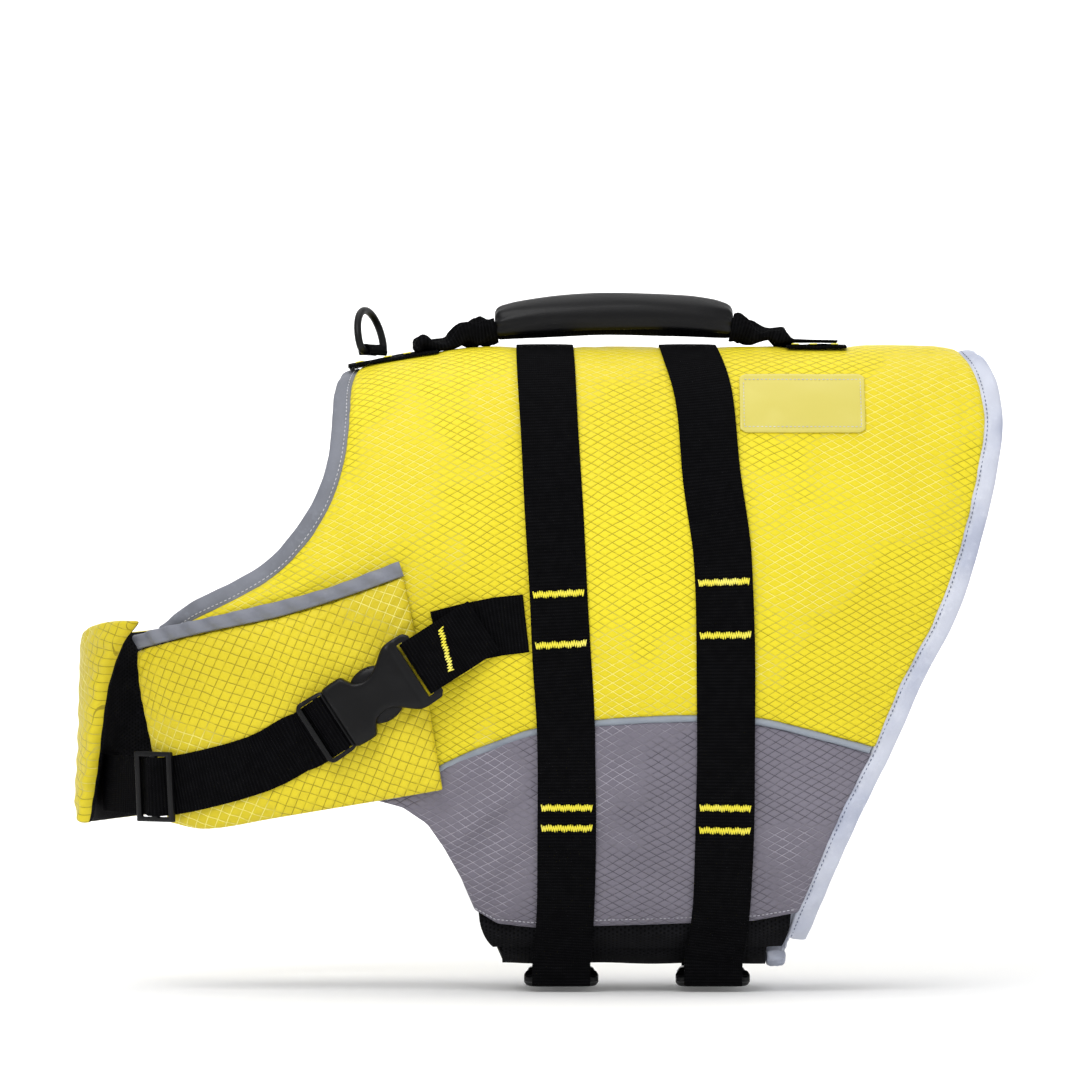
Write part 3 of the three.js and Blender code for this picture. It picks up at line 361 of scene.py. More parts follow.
# %% [markdown]
# Finishes are node trees. A small class wraps a socket, so that a pattern reads like a formula:
# adding, multiplying and comparing sockets adds the Math nodes that do it.


# %% Sockets as formulas
class Finish:
    """A material, and a way to add nodes to it."""

    def __init__(self, name, colour, roughness=0.6, metallic=0.0):
        self.material = bpy.data.materials.new(name)
        self.material.use_nodes = True
        self.tree = self.material.node_tree
        self.shader = self.tree.nodes["Principled BSDF"]
        self.shader.inputs["Base Color"].default_value = (*colour, 1)
        self.shader.inputs["Roughness"].default_value = roughness
        self.shader.inputs["Metallic"].default_value = metallic

    def node(self, kind, settings=None, inputs=None, output=0):
        """Add a node, set its settings first, then its sockets, and wrap one of its outputs."""
        made = self.tree.nodes.new(kind)
        for key, value in (settings or {}).items():
            setattr(made, key, value)
        for key, value in (inputs or {}).items():
            socket = made.inputs[key]
            if isinstance(value, Wire):
                self.tree.links.new(value.socket, socket)
            else:
                socket.default_value = value
        return Wire(self, made.outputs[output])

    def mix(self, share, one, other):
        """Mix two colours by a share."""
        return self.node(
            "ShaderNodeMix", {"data_type": "RGBA"},
            {"Factor": share, 6: colour4(one), 7: colour4(other)}, output=2,
        )

    def noise(self, scale, detail=3, rough=0.5):
        """Soft clouds in the object's own space, with scale features to a metre."""
        inputs = {"Vector": self.space(), "Scale": scale, "Detail": detail, "Roughness": rough}
        return self.node("ShaderNodeTexNoise", {}, inputs)

    def cloth_axes(self):
        """The cloth's own two measures, in metres, as numbers."""
        uv = self.node("ShaderNodeUVMap")
        split = self.tree.nodes.new("ShaderNodeSeparateXYZ")
        self.tree.links.new(uv.socket, split.inputs[0])
        return Wire(self, split.outputs[0]), Wire(self, split.outputs[1])

    def space(self):
        return self.node("ShaderNodeTexCoord", output=3)

    def feed(self, socket, value):
        self.tree.links.new(value.socket, self.shader.inputs[socket])

    def bump(self, height, depth, before=None, strength=1.0):
        inputs = {"Height": height, "Distance": depth, "Strength": strength}
        if before is not None:
            inputs["Normal"] = before
        return self.node("ShaderNodeBump", {}, inputs)


class Wire:
    """An output socket that can be used in a formula."""

    def __init__(self, finish, socket):
        self.finish = finish
        self.socket = socket

    def maths(self, operation, *others):
        inputs = {0: self}
        inputs.update({i + 1: other for i, other in enumerate(others)})
        return self.finish.node("ShaderNodeMath", {"operation": operation}, inputs)

    def __add__(self, other):
        return self.maths("ADD", other)

    def __mul__(self, other):
        return self.maths("MULTIPLY", other)

    def __sub__(self, other):
        return self.maths("SUBTRACT", other)

    def __truediv__(self, other):
        return self.maths("DIVIDE", other)

    def __radd__(self, other):
        return self.maths("ADD", other)

    def __rmul__(self, other):
        return self.maths("MULTIPLY", other)

    def __rsub__(self, other):
        return self.maths("MULTIPLY_ADD", -1.0, other)

    def fraction(self):
        return self.maths("FRACT")

    def clamped(self, low, high):
        """0 below low and 1 above high, with a soft step between them."""
        return self.finish.node(
            "ShaderNodeMapRange", {"interpolation_type": "SMOOTHSTEP"},
            {"Value": self, "From Min": low, "From Max": high},
        )


def colour4(value):
    return value if isinstance(value, Wire) else (*value, 1)


def linear(red, green, blue):
    """A colour as seen, 0 to 255, as the light values that Blender mixes."""
    return tuple(
        c / 12.92 if c <= 0.04045 else ((c + 0.055) / 1.055) ** 2.4
        for c in (red / 255, green / 255, blue / 255)
    )


# %% [markdown]
# Ripstop is thin coated cloth with thicker threads in a grid of diamonds. Two sets of slanting
# lines make the grid. The coating creases, so some stretches of thread look dark and others catch
# the light. Between the threads the cloth is cushioned a little, which bump shows well.


# %% Ripstop cloth
def ripstop(name, bright, shaded, thread_dark, thread_pale, cell=(9.6, 5.7), turn=0.0, roughness=0.46):
    cloth = Finish(name, bright, roughness)
    across, along = cloth.cloth_axes()
    wobble = (cloth.noise(26, 2) - 0.5) * 0.5
    cosine = math.cos(math.radians(turn))
    sine = math.sin(math.radians(turn))
    a = (across * cosine + along * sine) / (cell[0] * MM) + wobble
    b = (along * cosine - across * sine) / (cell[1] * MM) + wobble
    near_first = ((a + b).fraction() - 0.5).maths("ABSOLUTE")
    near_second = ((a - b).fraction() - 0.5).maths("ABSOLUTE")
    nearest = near_first.maths("MAXIMUM", near_second)
    line = nearest.clamped(0.446, 0.468)
    slant = cloth.noise(24, 2) * 3.5 + (across + along) / (46 * MM)
    stripes = slant.maths("SINE") * 0.5 + 0.5
    patches = (cloth.noise(15, 2) * 0.7 + stripes * 0.3).clamped(0.49, 0.64)
    broken = cloth.noise(190, 2).clamped(0.36, 0.5)
    crumple = cloth.noise(80, 4, rough=0.6)
    drift = cloth.noise(7, 2).clamped(0.35, 0.7)
    # Painted shade: the ground mixes a lit yellow (bright) with a shaded copy of it. Slow drift makes the
    # tone uneven, and the crease patches and the crumples get painted shade.
    ground = cloth.mix(drift * 0.45, bright, shaded)
    ground = cloth.mix(patches * 0.35, ground, shaded)
    ground = cloth.mix(crumple.clamped(0.6, 0.8) * 0.35, ground, shaded)
    # Painted highlight: in the crease patches the threads turn pale, as where they catch the light.
    thread = cloth.mix(patches, thread_dark, thread_pale)
    strength = line * (0.66 - 0.04 * patches) * (0.5 + 0.5 * broken)
    cloth.feed("Base Color", cloth.mix(strength, ground, thread))
    cloth.feed("Roughness", roughness + (0.5 - crumple) * 0.25 - line * 0.1)
    weave_a = (across / (0.11 * MM)).maths("SINE")
    weave_b = (along / (0.11 * MM)).maths("SINE")
    cushion = nearest.clamped(0.28, 0.5)
    bumps = cloth.bump(line * 0.5 - cushion, 0.3 * MM)
    bumps = cloth.bump(crumple, 1.1 * MM, bumps)
    bumps = cloth.bump(weave_a * weave_b, 0.02 * MM, bumps)
    cloth.feed("Normal", bumps)
    cloth.shader.inputs["Specular IOR Level"].default_value = 0.22
    cloth.shader.inputs["Sheen Weight"].default_value = 0.02
    cloth.shader.inputs["Sheen Roughness"].default_value = 0.4
    return cloth.material


# Each ripstop takes a lit ground, a shaded copy of it for painted shade, a dark thread colour, and a pale
# thread colour for painted highlight.
YELLOW = linear(233, 216, 40), linear(212, 190, 24), linear(116, 98, 6), linear(255, 250, 158)
FLAP_YELLOW = linear(222, 203, 42), linear(192, 172, 28), linear(112, 96, 10), linear(255, 250, 150)
YELLOW_CLOTH = ripstop("yellow_ripstop", *YELLOW)
FLAP_CLOTH = ripstop("yellow_ripstop_flap", *FLAP_YELLOW, cell=(8.4, 7.8), turn=24)
GREY_CLOTH = ripstop(
    "grey_ripstop", linear(122, 118, 130), linear(100, 96, 107), linear(34, 32, 40), linear(182, 178, 190),
    roughness=0.52,
)

# %% [markdown]
# Webbing is woven in fine cross ribs. Its map runs across and along the strap, so the ribs follow
# every strap round the body. Spacer mesh is knitted with rows of small holes, and binding tape has
# a close twill. All three are near flat, so their form is bump and a change of colour: painted shade
# in the grooves between ribs and in the holes of the knit, and painted highlight on rib tops and crumples.


# %% Webbing, mesh and tape
def webbing(name, base=linear(4, 4, 5), light=linear(20, 20, 22), pitch=2.2):
    tape = Finish(name, base, 0.72)
    across, along = tape.cloth_axes()
    rib = (along * (2 * math.pi / (pitch * MM))).maths("SINE")
    yarn = (across * (2 * math.pi / (1.3 * MM)) + rib * 0.7).maths("SINE")
    wear = tape.noise(160, 4)
    height = rib * 0.5 + yarn * 0.25
    # Painted shade and highlight: rib tops are painted lighter and the grooves darker, varied by wear.
    shade = (height * 0.6 + 0.5) * (wear.clamped(0.25, 0.8) * 0.6 + 0.4)
    tape.feed("Base Color", tape.mix(shade, base, light))
    tape.feed("Normal", tape.bump(height, 0.35 * MM))
    tape.feed("Roughness", 0.62 + wear * 0.25)
    tape.shader.inputs["Specular IOR Level"].default_value = 0.02
    return tape.material


def spacer_mesh(name, base=linear(8, 8, 9), light=linear(30, 30, 33), cell=2.6):
    knit = Finish(name, base, 0.8)
    across, along = knit.cloth_axes()
    a = (across / (cell * MM)).fraction() - 0.5
    b = (along / (cell * MM) + (across / (cell * MM)).maths("FLOOR") * 0.5).fraction() - 0.5
    hole = (a * a + b * b).maths("SQRT").clamped(0.2, 0.32)
    # Painted shade: the holes of the knit are painted darker than the yarn.
    knit.feed("Base Color", knit.mix(hole, linear(5, 5, 6), knit.mix(knit.noise(90, 3), base, light)))
    knit.feed("Normal", knit.bump(hole, 0.5 * MM))
    knit.feed("Roughness", 0.7 + hole * 0.15)
    knit.shader.inputs["Specular IOR Level"].default_value = 0.06
    return knit.material


def tape(name, base, dark, light, roughness=0.5, metallic=0.0, crumple_depth=0.5, pitch=0.9):
    cloth = Finish(name, base, roughness, metallic)
    across, along = cloth.cloth_axes()
    twill = ((across + along) * (2 * math.pi / (pitch * MM))).maths("SINE")
    crumple = cloth.noise(150, 4, rough=0.62)
    clouds = cloth.noise(22, 3)
    colour = cloth.mix(clouds.clamped(0.25, 0.6), dark, base)
    # Painted highlight: the tape is painted lighter where the crumples rise, as where they catch the
    # light.
    colour = cloth.mix(crumple.clamped(0.5, 0.85) * 0.5, colour, light)
    cloth.feed("Base Color", colour)
    cloth.feed("Roughness", roughness + (crumple - 0.5) * 0.4)
    cloth.feed("Normal", cloth.bump(crumple, crumple_depth * MM, cloth.bump(twill, 0.04 * MM)))
    return cloth.material


WEBBING = webbing("black_webbing")
MESH = spacer_mesh("black_mesh")
BINDING = tape("grey_binding", linear(120, 123, 133), linear(106, 109, 118), linear(142, 146, 156), 0.6)
PIPING = tape("piping", linear(143, 151, 162), linear(122, 130, 142), linear(166, 174, 184), 0.5)
SILVER = tape(
    "reflective_tape", linear(196, 200, 214), linear(170, 176, 196), linear(222, 225, 236), 0.42, 0.1, 0.6,
)


def plain(name, base, light, roughness, depth=0.1, scale=300, coat=0.0, gloss=0.4):
    """Moulded plastic, thread or a smooth patch, with a fine grain."""
    stuff = Finish(name, base, roughness)
    grain = stuff.noise(scale, 3)
    scuffs = stuff.noise(40, 4).clamped(0.45, 0.75)
    stuff.feed("Base Color", stuff.mix(scuffs * 0.5, base, light))
    stuff.feed("Roughness", roughness + (grain - 0.5) * 0.2 + scuffs * 0.08)
    stuff.feed("Normal", stuff.bump(grain, depth * MM))
    stuff.shader.inputs["Coat Weight"].default_value = coat
    stuff.shader.inputs["Specular IOR Level"].default_value = gloss
    return stuff.material


PLASTIC = plain(
    "black_plastic", linear(6, 6, 8), linear(18, 19, 21), 0.36, 0.05, 1600, coat=0.02, gloss=0.2,
)
SLEEVE = plain("black_sleeve", linear(6, 6, 8), linear(16, 17, 19), 0.4, 0.12, 900, coat=0.02, gloss=0.2)
YELLOW_THREAD = plain("yellow_thread", linear(240, 228, 62), linear(255, 250, 150), 0.5, 0.05, 900)
PALE_THREAD = plain("pale_thread", linear(196, 196, 204), linear(236, 236, 240), 0.5, 0.05, 900)
BLUE_THREAD = plain("blue_thread", linear(74, 84, 112), linear(110, 118, 142), 0.5, 0.05, 900)
PATCH_FILM = plain("patch_film", linear(204, 192, 92), linear(210, 199, 104), 0.34, 0.06, 60)
print("finishes:", len(bpy.data.materials))

# %% [markdown]
# Padded cloth and straps both start as a flat grid with a wall, made by the Solidify modifier. Its
# outer and inner faces are then laid at their own heights, so one closed mesh makes a panel that is
# thick in the middle and thin at its seams. Tubes, such as bindings, are a grid rolled up.


# %% Panels, straps and tubes from a grid
def slab(name, columns, rows, outer, inner, back_slot=0):
    """A closed panel whose two faces lie at outer(u, v) and inner(u, v)."""
    panel = flat_grid(name, columns, rows)
    wall = panel.modifiers.new("wall", "SOLIDIFY")
    wall.thickness = 0.1
    wall.offset = -1
    wall.material_offset = back_slot
    wall.material_offset_rim = 0
    if back_slot:
        panel.data.materials.append(None)
        panel.data.materials.append(None)
    apply_modifiers(panel)
    flat = points_of(panel)
    u = flat[:, 0] + 0.5
    v = flat[:, 1] + 0.5
    lower = flat[:, 2] < flat[:, 2].mean()
    points, across, along = outer(u, v)
    under = inner(u, v)[0]
    set_points(panel, np.where(lower[:, None], under, points))
    write_uv(panel, across, along)
    face_out(panel)
    return panel, u, v, lower


def write_uv(piece, across, along):
    corners = np.empty(len(piece.data.loops), np.int32)
    piece.data.loops.foreach_get("vertex_index", corners)
    measures = np.stack([across, along], -1).astype(np.float32)
    piece.data.uv_layers.active.data.foreach_set("uv", measures[corners].ravel())


def tube(name, around, along, place, closed=False):
    """A grid rolled round its first measure, with its two ends filled or joined."""
    roll = flat_grid(name, around, along)
    flat = points_of(roll)
    points, a, b = place(flat[:, 0] + 0.5, flat[:, 1] + 0.5)
    write_uv(roll, a, b)
    set_points(roll, points)
    only(roll)
    bpy.ops.object.mode_set(mode="EDIT")
    bpy.ops.mesh.select_all(action="SELECT")
    bpy.ops.mesh.remove_doubles(threshold=0.00002)
    if not closed:
        bpy.ops.mesh.select_all(action="DESELECT")
        bpy.ops.mesh.select_non_manifold()
        bpy.ops.mesh.fill_holes(sides=0)
    bpy.ops.object.mode_set(mode="OBJECT")
    face_out(roll)
    return roll


def unit(vectors):
    return vectors / np.maximum(np.linalg.norm(vectors, axis=-1, keepdims=True), 1e-9)


class Route:
    """A way through space with a side direction, read by its length in metres."""

    def __init__(self, points, sides, step=1.5 * MM, soften=0):
        points = np.asarray(points, float)
        sides = np.broadcast_to(np.asarray(sides, float), points.shape)
        length = np.concatenate([[0], np.cumsum(np.linalg.norm(np.diff(points, axis=0), axis=1))])
        at = np.linspace(0, length[-1], max(8, int(length[-1] / step)))
        fine = np.stack([np.interp(at, length, points[:, k]) for k in range(3)], 1)
        side = np.stack([np.interp(at, length, sides[:, k]) for k in range(3)], 1)
        for _ in range(soften):
            fine[1:-1] = (fine[:-2] + 2 * fine[1:-1] + fine[2:]) / 4
        along = unit(np.gradient(fine, axis=0))
        up = unit(np.cross(along, side))
        self.points = fine
        self.side = unit(np.cross(up, along))
        self.up = up
        self.along = along
        self.at = np.concatenate([[0], np.cumsum(np.linalg.norm(np.diff(fine, axis=0), axis=1))])
        self.length = self.at[-1]

    def read(self, s):
        s = np.asarray(s, float)
        pick = lambda table: np.stack([np.interp(s, self.at, table[:, k]) for k in range(3)], -1)
        return pick(self.points), unit(pick(self.side)), unit(pick(self.up))

    def place(self, s, across, over):
        centre, side, up = self.read(s)
        return centre + side * np.asarray(across)[..., None] + up * np.asarray(over)[..., None]


def strap(
    name, route, width, thick=1.7 * MM, material=None, body=JACKET, step=3.5 * MM, rows=8, shape=None,
):
    """Webbing along a route, a little uneven at its edges as woven tape is."""

    def face(side):
        def place(u, v):
            s = v * route.length
            wave = 0.35 * MM * np.sin(s / (23 * MM) + 2 * np.abs(u - 0.5)) * (2 * np.abs(u - 0.5)) ** 3
            across = (u - 0.5) * width * (1 + 0.008 * np.sin(s / (17 * MM)))
            over = side * thick / 2 + wave
            if shape is not None:
                across, over = shape(u, v, across, over)
            return route.place(s, across, over), across, s
        return place

    count = max(4, int(route.length / step))
    piece, _, _, _ = slab(name, rows, count, face(1), face(-1))
    edge = piece.modifiers.new("edge", "BEVEL")
    edge.width = thick * 0.32
    edge.segments = 2
    edge.limit_method = "ANGLE"
    edge.angle_limit = math.radians(50)
    apply_modifiers(piece)
    smooth(piece, 50)
    piece.data.materials.clear()
    piece.data.materials.append(material or WEBBING)
    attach(piece, body)
    return piece


def dressed(piece, slot_name, *materials, body=JACKET):
    slots = piece.data.materials
    while len(slots) < len(materials):
        slots.append(None)
    for i, material in enumerate(materials):
        slots[i] = material
    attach(piece, body)
    return piece


# %% [markdown]
# The back panel is the large foam-filled piece, yellow outside and black mesh inside. Its foam ends
# a finger's width short of every seam, so the cloth dips there. Where webbing crosses it the foam
# is pressed flat, and beside the webbing the cloth bulges.

# %% The back panel's place on the body
BACK_LENGTH = 400 * MM
BACK_GIRTH = 660 * MM
FOAM = 12 * MM
EDGE_MIDDLE = -5 * MM
EDGE_HALF = 1.8 * MM
SPREAD = -0.45


def evened(u):
    return u + SPREAD * np.sin(2 * np.pi * u) / (2 * np.pi)


def edge_distance(u, v, length, height):
    return np.minimum(np.minimum(u, 1 - u) * length, np.minimum(v, 1 - v) * height)


def back_place(u, v):
    share = np.abs(2 * v - 1)
    sign = np.where(v < 0.5, -1, 1)
    front_turn = share * FRONT_CORNER_TURN
    rear_turn = share * REAR_CORNER_TURN
    front_x = read_turn(panel_front, front_turn)
    x = front_x + (rear_x(rear_turn) + 1.8 * MM - front_x) * u
    along_seam = seam_x(u)
    straight = FRONT_CORNER_TURN + (REAR_CORNER_TURN - FRONT_CORNER_TURN) * u
    seam_turn = turn_at(along_seam, read(SEAM, along_seam) + 1.6 * MM)
    bow = (seam_turn - straight) * share * share
    return x, sign * (front_turn + (rear_turn - front_turn) * u + bow)


def pressed(x, z, half=19 * MM, soft=7 * MM):
    """1 under the belly straps, falling to 0 beside them."""
    return np.clip(1 - (strap_distance(x, z) - half) / soft, 0, 1)


def pucker(distance, along, pitch, reach=12 * MM):
    """Small gathers that stand out from a sewn edge and fade inwards."""
    drift = 1.7 * np.sin(along / (41 * MM)) + 0.8 * np.sin(along / (17 * MM))
    uneven = np.sin(along / pitch * 2 * np.pi + drift)
    return uneven * np.exp(-distance / reach) * np.clip(distance / (3 * MM), 0, 1)


def back_surface(face):
    def place(u, v):
        u = evened(u)
        x, turn = back_place(u, v)
        flat = body_point(x, turn)
        distance = edge_distance(u, v, BACK_LENGTH, BACK_GIRTH)
        full = crown(distance, 24 * MM)
        under = np.maximum(pressed(x, flat[:, 2]), spine_pressed(x, flat[:, 1]))
        arc = girth_of(turn)
        if face > 0:
            at_seam = np.clip(1 - np.minimum(v, 1 - v) * BACK_GIRTH / (20 * MM), 0, 1)
            low = EDGE_MIDDLE + EDGE_HALF + 1.6 * MM * at_seam
            top = 0.9 * MM + 0.7 * MM * ripple(x, arc, 1.6)
            lift = low + (top - low) * full
            lift = lift + 1.3 * MM * pucker(distance, x + arc, 14 * MM) * (1 - under)
            lift = lift + (np.minimum(lift, 0.1 * MM) - lift) * under
        else:
            low = EDGE_MIDDLE - EDGE_HALF
            lift = low + (-FOAM - low) * full
        return on_body(x, turn, lift), x, arc
    return place


def spine_pressed(x, y):
    front = np.clip(1 - np.maximum(np.abs(x + 154 * MM) - 30 * MM, np.abs(y) - 19 * MM) / (6 * MM), 0, 1)
    rear = np.clip(1 - np.maximum(np.abs(x - 126 * MM) - 20 * MM, np.abs(y) - 21 * MM) / (6 * MM), 0, 1)
    return np.maximum(front, rear)


back_panel, back_u, back_v, back_lower = slab(
    "back_foam_panel", 92, 150, back_surface(1), back_surface(-1), 1,
)
print("back panel faces:", len(back_panel.data.polygons))

# %% Finishing the back panel
dressed(back_panel, "yellow_ripstop", YELLOW_CLOTH, MESH)
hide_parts("back_panel_left", "back_panel_right")
print("back panel, mm:", [round(side / MM) for side in back_panel.dimensions])

# %% [markdown]
# The grey side panels are the same thin ripstop over a thin pad, from the seam down to the belly.
# They hang a little slack, and soft creases run slantwise from the armhole and under the straps.
# Creases are listed as troughs and ridges, each with its own place, lean and length.

# %% The grey side panels
CREASES = [
    (-118, -292, 0.9, 8, 3.4, 34), (-92, -314, 1.2, 9, 2.8, 40), (-66, -268, -0.7, 9, 2.4, 36),
    (8, -296, 0.5, 10, 2.4, 42), (30, -340, -0.4, 9, 2.0, 40), (98, -300, -1.1, 9, 2.6, 38),
    (-104, -304, 1.05, 5, -2.2, 30), (-80, -286, 0.75, 6, -1.6, 26), (-78, -338, 1.5, 6, 1.8, 30),
    (112, -322, -1.4, 6, -1.4, 30), (20, -258, 0.2, 7, 1.4, 30), (-30, -350, 0.3, 7, 1.6, 26),
    (88, -345, -0.5, 6, 1.5, 24), (120, -275, -1.5, 5, 1.3, 22),
]


def crease_depth(x, z, flip_side):
    total = np.zeros_like(x)
    for i, (cx, cz, lean, width, depth, run) in enumerate(CREASES):
        shift = (7 * math.sin(2.3 * i) if flip_side else 0) * MM
        dx = x - cx * MM - shift
        dz = z - cz * MM + shift * 0.6
        length = math.hypot(1, lean)
        along = (dx + dz * lean) / length / (run * MM)
        across = (dz - dx * lean) / length / (width * MM)
        total += depth * MM * np.exp(-(along**2) - across**2)
    return total


def along_rows(rows, share):
    table = np.array(rows, float) * MM
    steps = np.concatenate([[0], np.cumsum(np.hypot(*np.diff(table, axis=0).T))])
    at = np.clip(share, 0, 1) * steps[-1]
    return np.interp(at, steps, table[:, 0]), np.interp(at, steps, table[:, 1])


def side_place(u, v):
    seam_side = 1.4 * MM
    rear_side = -1.8 * MM
    start_x = FRONT_CORNER[0]
    end_x = float(seam_x(1.0)) - rear_side
    top_x = start_x + (end_x - start_x) * u
    top_z = read(SEAM, top_x) - seam_side
    low_x, low_z = along_rows(SIDE_BOTTOM, u)
    front_x, front_z = along_rows(ARMHOLE, v)
    rear_z = -253 * MM - seam_side + (-362 + 253) * MM * v + seam_side * v
    rear_edge_x = read([(z, x) for x, z in REAR_EDGE], rear_z) - rear_side
    corner = [
        (start_x, float(read(SEAM, start_x)) - seam_side), (end_x, float(read(SEAM, end_x)) - seam_side),
        (SIDE_BOTTOM[0][0] * MM, SIDE_BOTTOM[0][1] * MM),
        (SIDE_BOTTOM[-1][0] * MM, SIDE_BOTTOM[-1][1] * MM),
    ]
    weights = [(1 - u) * (1 - v), u * (1 - v), (1 - u) * v, u * v]
    x = (1 - v) * top_x + v * low_x + (1 - u) * front_x + u * rear_edge_x
    z = (1 - v) * top_z + v * low_z + (1 - u) * front_z + u * rear_z
    for weight, (corner_x, corner_z) in zip(weights, corner):
        x = x - weight * corner_x
        z = z - weight * corner_z
    return x, z


def side_panel(name, sign):
    def surface(face):
        def place(u, v):
            u = evened(u)
            x, z = side_place(u, v)
            turn = sign * turn_at(x, z)
            distance = edge_distance(u, v, 260 * MM, 120 * MM)
            full = crown(distance, 14 * MM)
            dent = full * crease_depth(x, z, sign < 0)
            under = pressed(x, z)
            if face > 0:
                at_seam = np.clip(1 - v * 120 * MM / (14 * MM), 0, 1)
                low = EDGE_MIDDLE + EDGE_HALF + 1.4 * MM * at_seam
                top = 0.3 * MM + 0.5 * MM * ripple(x, z, 1.2)
                lift = low + (top - low) * full - dent
                lift = lift + 0.7 * MM * pucker(distance, x + z, 11 * MM, 9 * MM)
                lift = lift + (np.minimum(lift, 0.1 * MM) - lift) * under
            else:
                low = EDGE_MIDDLE - EDGE_HALF
                lift = low + (-6.6 * MM - low) * full - dent
            return on_body(x, turn, lift), x, girth_of(turn)
        return place

    panel, _, _, _ = slab(name, 76, 40, surface(1), surface(-1), 1)
    subdivide(panel, 1)
    smooth(panel, 60)
    dressed(panel, "grey_ripstop", GREY_CLOTH, MESH)
    return panel


side_left = side_panel("grey_side_left", 1)
side_right = side_panel("grey_side_right", -1)
for piece, node in ((side_left, "side_panel_left"), (side_right, "side_panel_right")):
    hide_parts(node)
print("side panels, faces each:", len(side_left.data.polygons))

# %% [markdown]
# Piping is a cord in a folded strip, sewn into the seam between yellow and grey. A binding is a
# tape folded over a cut edge and stitched through, so it is full in its middle, pinched at its
# stitches, and a little rippled where it rounds a corner.

# %% Piping and bindings
def surface_route(place, a, b, lift, step=1.5 * MM):
    """A route on a form, given by two rows of places and a height."""
    points = place(np.asarray(a, float), np.asarray(b, float), lift)
    ahead = place(np.asarray(a, float), np.asarray(b, float), lift + 1 * MM)
    up = unit(ahead - points)
    along = np.gradient(points, axis=0)
    return Route(points, unit(np.cross(up, unit(along))), step)


def piping(name, sign):
    u = np.linspace(0, 1, 120)
    even = evened(u)
    x = seam_x(even) - 1.6 * MM * u
    turn = sign * turn_at(x, read(SEAM, x))
    route = surface_route(on_body, x, turn, -2.9 * MM)

    def place(a, b):
        s = b * route.length
        angle = 2 * np.pi * a
        radius = 2.5 * MM * (1 + 0.05 * np.sin(s / (5 * MM)))
        return route.place(s, radius * np.cos(angle), radius * np.sin(angle)), angle * 2.5 * MM, s

    cord = tube(name, 12, 150, place)
    smooth(cord, 70)
    dressed(cord, "piping", PIPING)
    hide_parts("piping_left" if sign > 0 else "piping_right")
    return cord


def binding(
    name, node, route, width, middle, half, material, slot_name, pleats=0.35, pitch=19 * MM, sew=0.26,
):
    """Tape folded over an edge: an oval section, dented along its stitches, rippled along its length."""

    def place(a, b):
        s = b * route.length
        angle = 2 * np.pi * a
        cosine = np.cos(angle)
        across = width / 2 * np.sign(cosine) * np.abs(cosine) ** 0.8
        sine = np.sin(angle)
        over = middle + half * np.sign(sine) * np.abs(sine) ** 0.7
        drift = 1.4 * np.sin(s / (47 * MM)) + 3 * across / width
        ripples = pleats * MM * np.sin(s / pitch * 2 * np.pi + drift)
        stitch_line = np.exp(-(((across + sew * width) / (0.9 * MM)) ** 2))
        dent = 0.55 * MM * stitch_line * (0.75 + 0.25 * np.cos(s / (3.2 * MM) * 2 * np.pi))
        over = over + ripples * (sine > -0.2) - dent * np.sign(sine)
        across = across + 0.25 * MM * np.sin(s / (13 * MM)) * np.sign(cosine)
        return route.place(s, across, over), across, s

    count = int(route.length / (2.2 * MM))
    tape_piece = tube(name, 32, count, place)
    smooth(tape_piece, 70)
    dressed(tape_piece, slot_name, material)
    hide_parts(node)
    return tape_piece


piping("seam_piping_left", 1)
piping("seam_piping_right", -1)

neck_turn = np.linspace(-neck_rows[-1][0], neck_rows[-1][0], 400)
print("neck edge, degrees:", round(neck_rows[-1][0], 1), "rear edge:", round(rear_rows[-1][0], 1))

# %% The bindings of neck and tail
NECK_WIDTH = 12.4 * MM
TAIL_WIDTH = 13.4 * MM
BINDING_MIDDLE = -4.8 * MM
BINDING_HALF = 3.0 * MM
NECK_SEW = -0.26
TAIL_SEW = 0.3
def edge_route(rows, turns, shift):
    x = read_turn(rows, turns)
    points = on_body(x, turns, 0.0)
    normal = normals_of(body_point, x, turns, -1)
    side = unit(np.cross(normal, unit(np.gradient(points, axis=0))))
    side = side * np.sign(side[:, :1])
    return Route(points + side * shift, side)


neck_route = edge_route(neck_rows, neck_turn, 6 * MM)
binding(
    "neck_edge_binding", "neck_binding", neck_route, NECK_WIDTH, BINDING_MIDDLE, BINDING_HALF,
    BINDING, "grey_binding",
    sew=NECK_SEW,
)
tail_rows = [*rear_rows, (rear_rows[-1][0] + 5.5, rear_rows[-1][1] - 6 * MM)]
tail_turn = np.linspace(-tail_rows[-1][0], tail_rows[-1][0], 500)
tail_route = edge_route(tail_rows, tail_turn, 6.8 * MM)
binding(
    "tail_edge_binding", "tail_binding", tail_route, TAIL_WIDTH, BINDING_MIDDLE, BINDING_HALF,
    SILVER, "reflective_binding",
    pleats=0.5, pitch=27 * MM, sew=TAIL_SEW,
)
print("bindings, mm:", round(neck_route.length / MM), round(tail_route.length / MM))

# %% [markdown]
# The belly is spacer mesh. The left panel is a short flap that lies over the end of the right one,
# and both disappear under the belly straps, which close the jacket. Mesh is soft, so its free
# edge waves a little. A crumpled scrap of reflective tape binds its rear edge.

# %% Belly panels
BELLY_FROM = -98 * MM
BELLY_TO = 108 * MM
FLAP_END = 165.5
UNDER_START = 163.4


def side_bottom_turn(x):
    return turn_at(x, read(SIDE_BOTTOM, x) + 8 * MM)


def sunk(turn, start):
    """How far the belly panel lies below its height where it is tucked under the side panel."""
    away = np.abs(girth_of(turn) - girth_of(start))
    return 5.4 * MM * np.clip((15 * MM - away) / (7 * MM), 0, 1)


